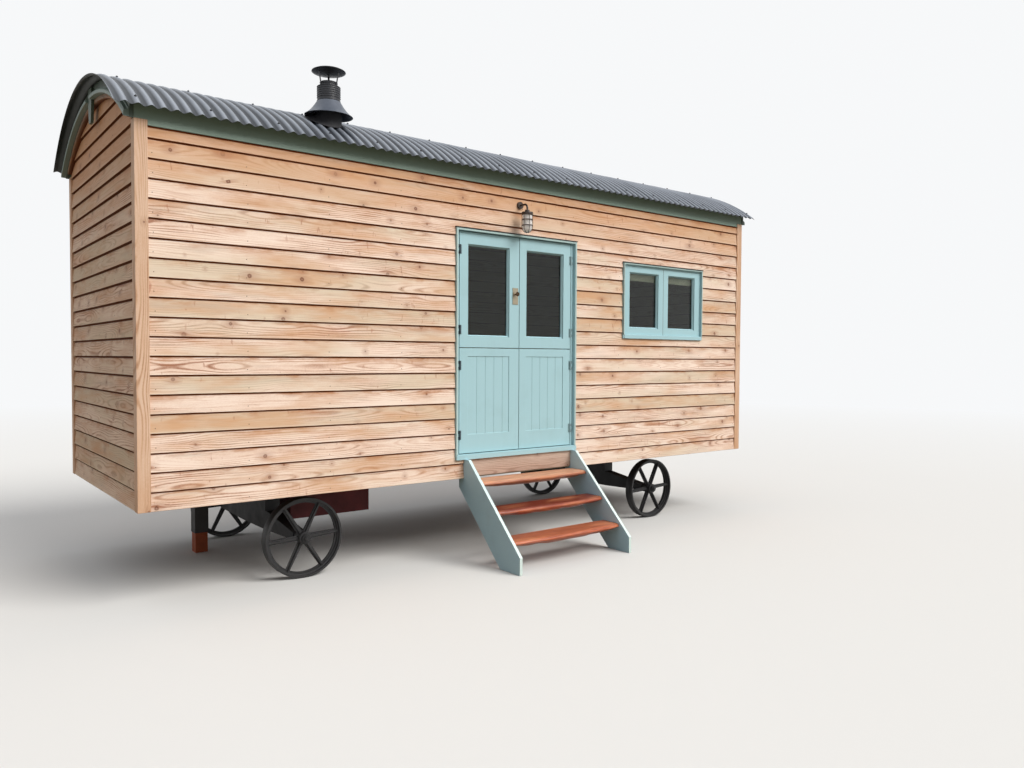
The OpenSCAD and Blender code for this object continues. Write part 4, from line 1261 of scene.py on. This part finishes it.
def flue_cowl():
    """Lens shaped cap on three slanting straps."""
    cap = [(0.0, 0.0250), (0.040, 0.0232), (0.080, 0.0170), (0.110, 0.0088), (0.1245, 0.0016),
           (0.1258, -0.0010), (0.1235, -0.0028), (0.108, -0.0070), (0.080, -0.0140),
           (0.045, -0.0200), (0.0, -0.0220)]
    g = Geo()
    g.lathe(cap, placed(FLUE_X, FLUE_Y, COWL_Z), 48)
    low = FLUE_TOP - 0.020
    strap = ((0.0642, low), (0.0665, FLUE_TOP), (0.070, FLUE_TOP + 0.020), (0.080, COWL_Z - 0.012))
    for n in range(3):
        a = radians(65 + 120 * n)
        rows = []
        for r, z in strap:
            row = []
            for across, out in ((-0.007, 0.0), (0.007, 0.0), (0.007, 0.003), (-0.007, 0.003)):
                x = (r + out) * cos(a) - across * sin(a)
                y = (r + out) * sin(a) + across * cos(a)
                row.append(at(FLUE_X + x, FLUE_Y + y, z))
            rows.append(row)
        g.skin(rows)
        rivet = placed(FLUE_X + 0.068 * cos(a), FLUE_Y + 0.068 * sin(a), low + 0.010, a, "Z")
        head = [(0.0, 0.002), (0.003, 0.0012), (0.004, -0.001)]
        g.lathe(head, rivet @ Matrix.Rotation(pi / 2, 4, "Y"), 10)
    ob = g.make("cowl_cap", "flue_steel", flue_black, smooth=40)
    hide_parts("flue_cowl")


# Lamp: place of the glass's axis and height of its top
LAMP_X, LAMP_Y, _ = middle("lamp_glass")
LAMP_TOP = hut_box("lamp_glass")[1].z


def lamp_jar():
    """Ribbed glass with a rounded lower end, in place of the plain one."""
    bend, ribs = 7, 18
    prof = [(0.0, -0.147)]
    for n in range(bend):
        a = pi / 2 * (n + 1) / bend
        prof.append((0.040 * sin(a), -0.107 - 0.040 * cos(a)))
    prof += [(0.0405 + 0.0022 * (n % 2), -0.102 + 0.0055 * n) for n in range(ribs)]
    prof += [(0.040, -0.0005), (0.0, -0.0005)]
    g = Geo()
    g.lathe(prof, placed(LAMP_X, LAMP_Y, LAMP_TOP), 32)
    ob = g.make("lamp_jar", "lamp_glass", lamp_clear, smooth=60)
    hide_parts("lamp_glass")


def lamp_cage():
    """Wire guard of two hoops and six wires that meet below the glass."""
    g = Geo()
    wires, wire_r, hoop_r, size = 6, 0.0020, 0.0465, 0.0035
    path = [(hoop_r, 0.004), (hoop_r, -0.060), (hoop_r, -0.100), (0.040, -0.125), (0.026, -0.142),
            (0.006, -0.150)]
    for n in range(wires):
        a = 2 * pi * (n + 0.25) / wires
        g.tube([at(LAMP_X + r * cos(a), LAMP_Y + r * sin(a), LAMP_TOP + z) for r, z in path], wire_r, 8)
    inner, outer = hoop_r - size / 2, hoop_r + size / 2
    for z in (-0.040, -0.088):
        prof = [(inner, z - size), (outer, z - size), (outer, z + size), (inner, z + size),
                (inner, z - size)]
        g.lathe(prof, placed(LAMP_X, LAMP_Y, LAMP_TOP), 32)
    g.make("lamp_cage", "lamp_metal", lamp_black)


# Studio
BACKDROP = (0.93, 0.94, 0.95, 1.0)


def floor():
    """Pale floor that fades into the backdrop and throws little light back up."""
    reach, z = 60.0, -0.001
    me = bpy.data.meshes.new("studio_floor")
    corners = [(-reach, -reach, z), (reach, -reach, z), (reach, reach, z), (-reach, reach, z)]
    me.from_pydata(corners, [], [(0, 1, 2, 3)])
    ob = bpy.data.objects.new("studio_floor", me)
    bpy.context.scene.collection.objects.link(ob)
    k = Mat("studio_floor", Roughness=0.9, Base_Color=rgb(222, 221, 218), Specular_IOR_Level=0.1)
    dark = k.node("BsdfDiffuse", {"Color": (0.22, 0.18, 0.13, 1.0)}).outputs[0]
    glow = k.node("Emission", {"Color": BACKDROP, "Strength": 1.0}).outputs[0]
    far = k.span(k.vec("LENGTH", k.obj()), 7.0, 24.0)
    pale = k.mix_shaders(far, k.shader.outputs[0], glow)
    both = k.mix_shaders(k.seen_directly(), dark, pale)
    k.put(k.tree.nodes["Material Output"].inputs["Surface"], both)
    me.materials.append(k.m)


def sky():
    """Soft light, brighter from above, behind a plain pale backdrop."""
    world = bpy.data.worlds.new("studio")
    bpy.context.scene.world = world
    world.use_nodes = True
    k = Nodes(world.node_tree)
    up = k.xyz(k.node("TexCoord", {}).outputs["Generated"])[2]
    strength = k.span(up, 0.0, 1.0, 0.19, 0.85)
    light = k.tree.nodes["Background"]
    k.put(light.inputs["Color"], (0.96, 0.97, 1.0, 1.0))
    k.put(light.inputs["Strength"], strength)
    backdrop = k.node("Background", {"Color": BACKDROP})
    shown = k.mix_shaders(k.seen_directly(), light.outputs[0], backdrop.outputs[0])
    k.put(k.tree.nodes["World Output"].inputs["Surface"], shown)


def key_light():
    """One wide soft light from the front, high on the right."""
    shines_along = Vector((-0.35, 0.80, -0.75))
    data = bpy.data.lights.new("key", "SUN")
    data.energy = 2.85
    data.angle = radians(36)
    data.color = (1.0, 0.98, 0.95)
    sun = bpy.data.objects.new("key", data)
    sun.rotation_euler = shines_along.to_track_quat("-Z", "Y").to_euler()
    bpy.context.scene.collection.objects.link(sun)


def camera():
    """Camera at the photograph's place. The angles are in radians and the focal length in pixels."""
    stand = (-1.236, -5.367, 0.992)
    turn, tilt, roll = -0.6672, -0.0326, 0.0052
    focal, picture_width, sensor = 796.54, 1024, 36.0
    forward = Vector((-sin(turn) * cos(tilt), cos(turn) * cos(tilt), sin(tilt)))
    level = Vector((cos(turn), sin(turn), 0))
    upright = level.cross(forward)
    right = level * cos(roll) + upright * sin(roll)
    up = upright * cos(roll) - level * sin(roll)
    cam = bpy.data.objects.new("camera", bpy.data.cameras.new("camera"))
    cam.data.sensor_width = sensor
    cam.data.lens = focal / picture_width * sensor
    rot = Matrix((right, up, -forward)).transposed().to_4x4()
    cam.matrix_world = Matrix.Translation(at(*stand)) @ rot
    bpy.context.scene.collection.objects.link(cam)
    bpy.context.scene.camera = cam


finish_carried()
for wall in ("front", "rear", "left", "right"):
    cladding(wall)
riser_board()
soffit_liners()
barge_covers()
cladding_nails()
roof_sheets()
roof_screws()
for side_name in ("left", "right"):
    glazing("glass_upper_" + side_name, f"upper_{side_name}_leaf", "leaf_upper_left")
glazing("window_glass", "hut", "casements")
edge_strips()
head_drips_painted_shade()
window_shadow_strip()
hinge_screws()
window_blind()
treads()
axle_nuts()
wheel_beads()
flue_tubes()
flue_skirt()
flue_boot()
flue_cowl()
lamp_jar()
lamp_cage()
floor()
sky()
key_light()
camera()
bpy.context.scene.view_settings.view_transform = "Standard"
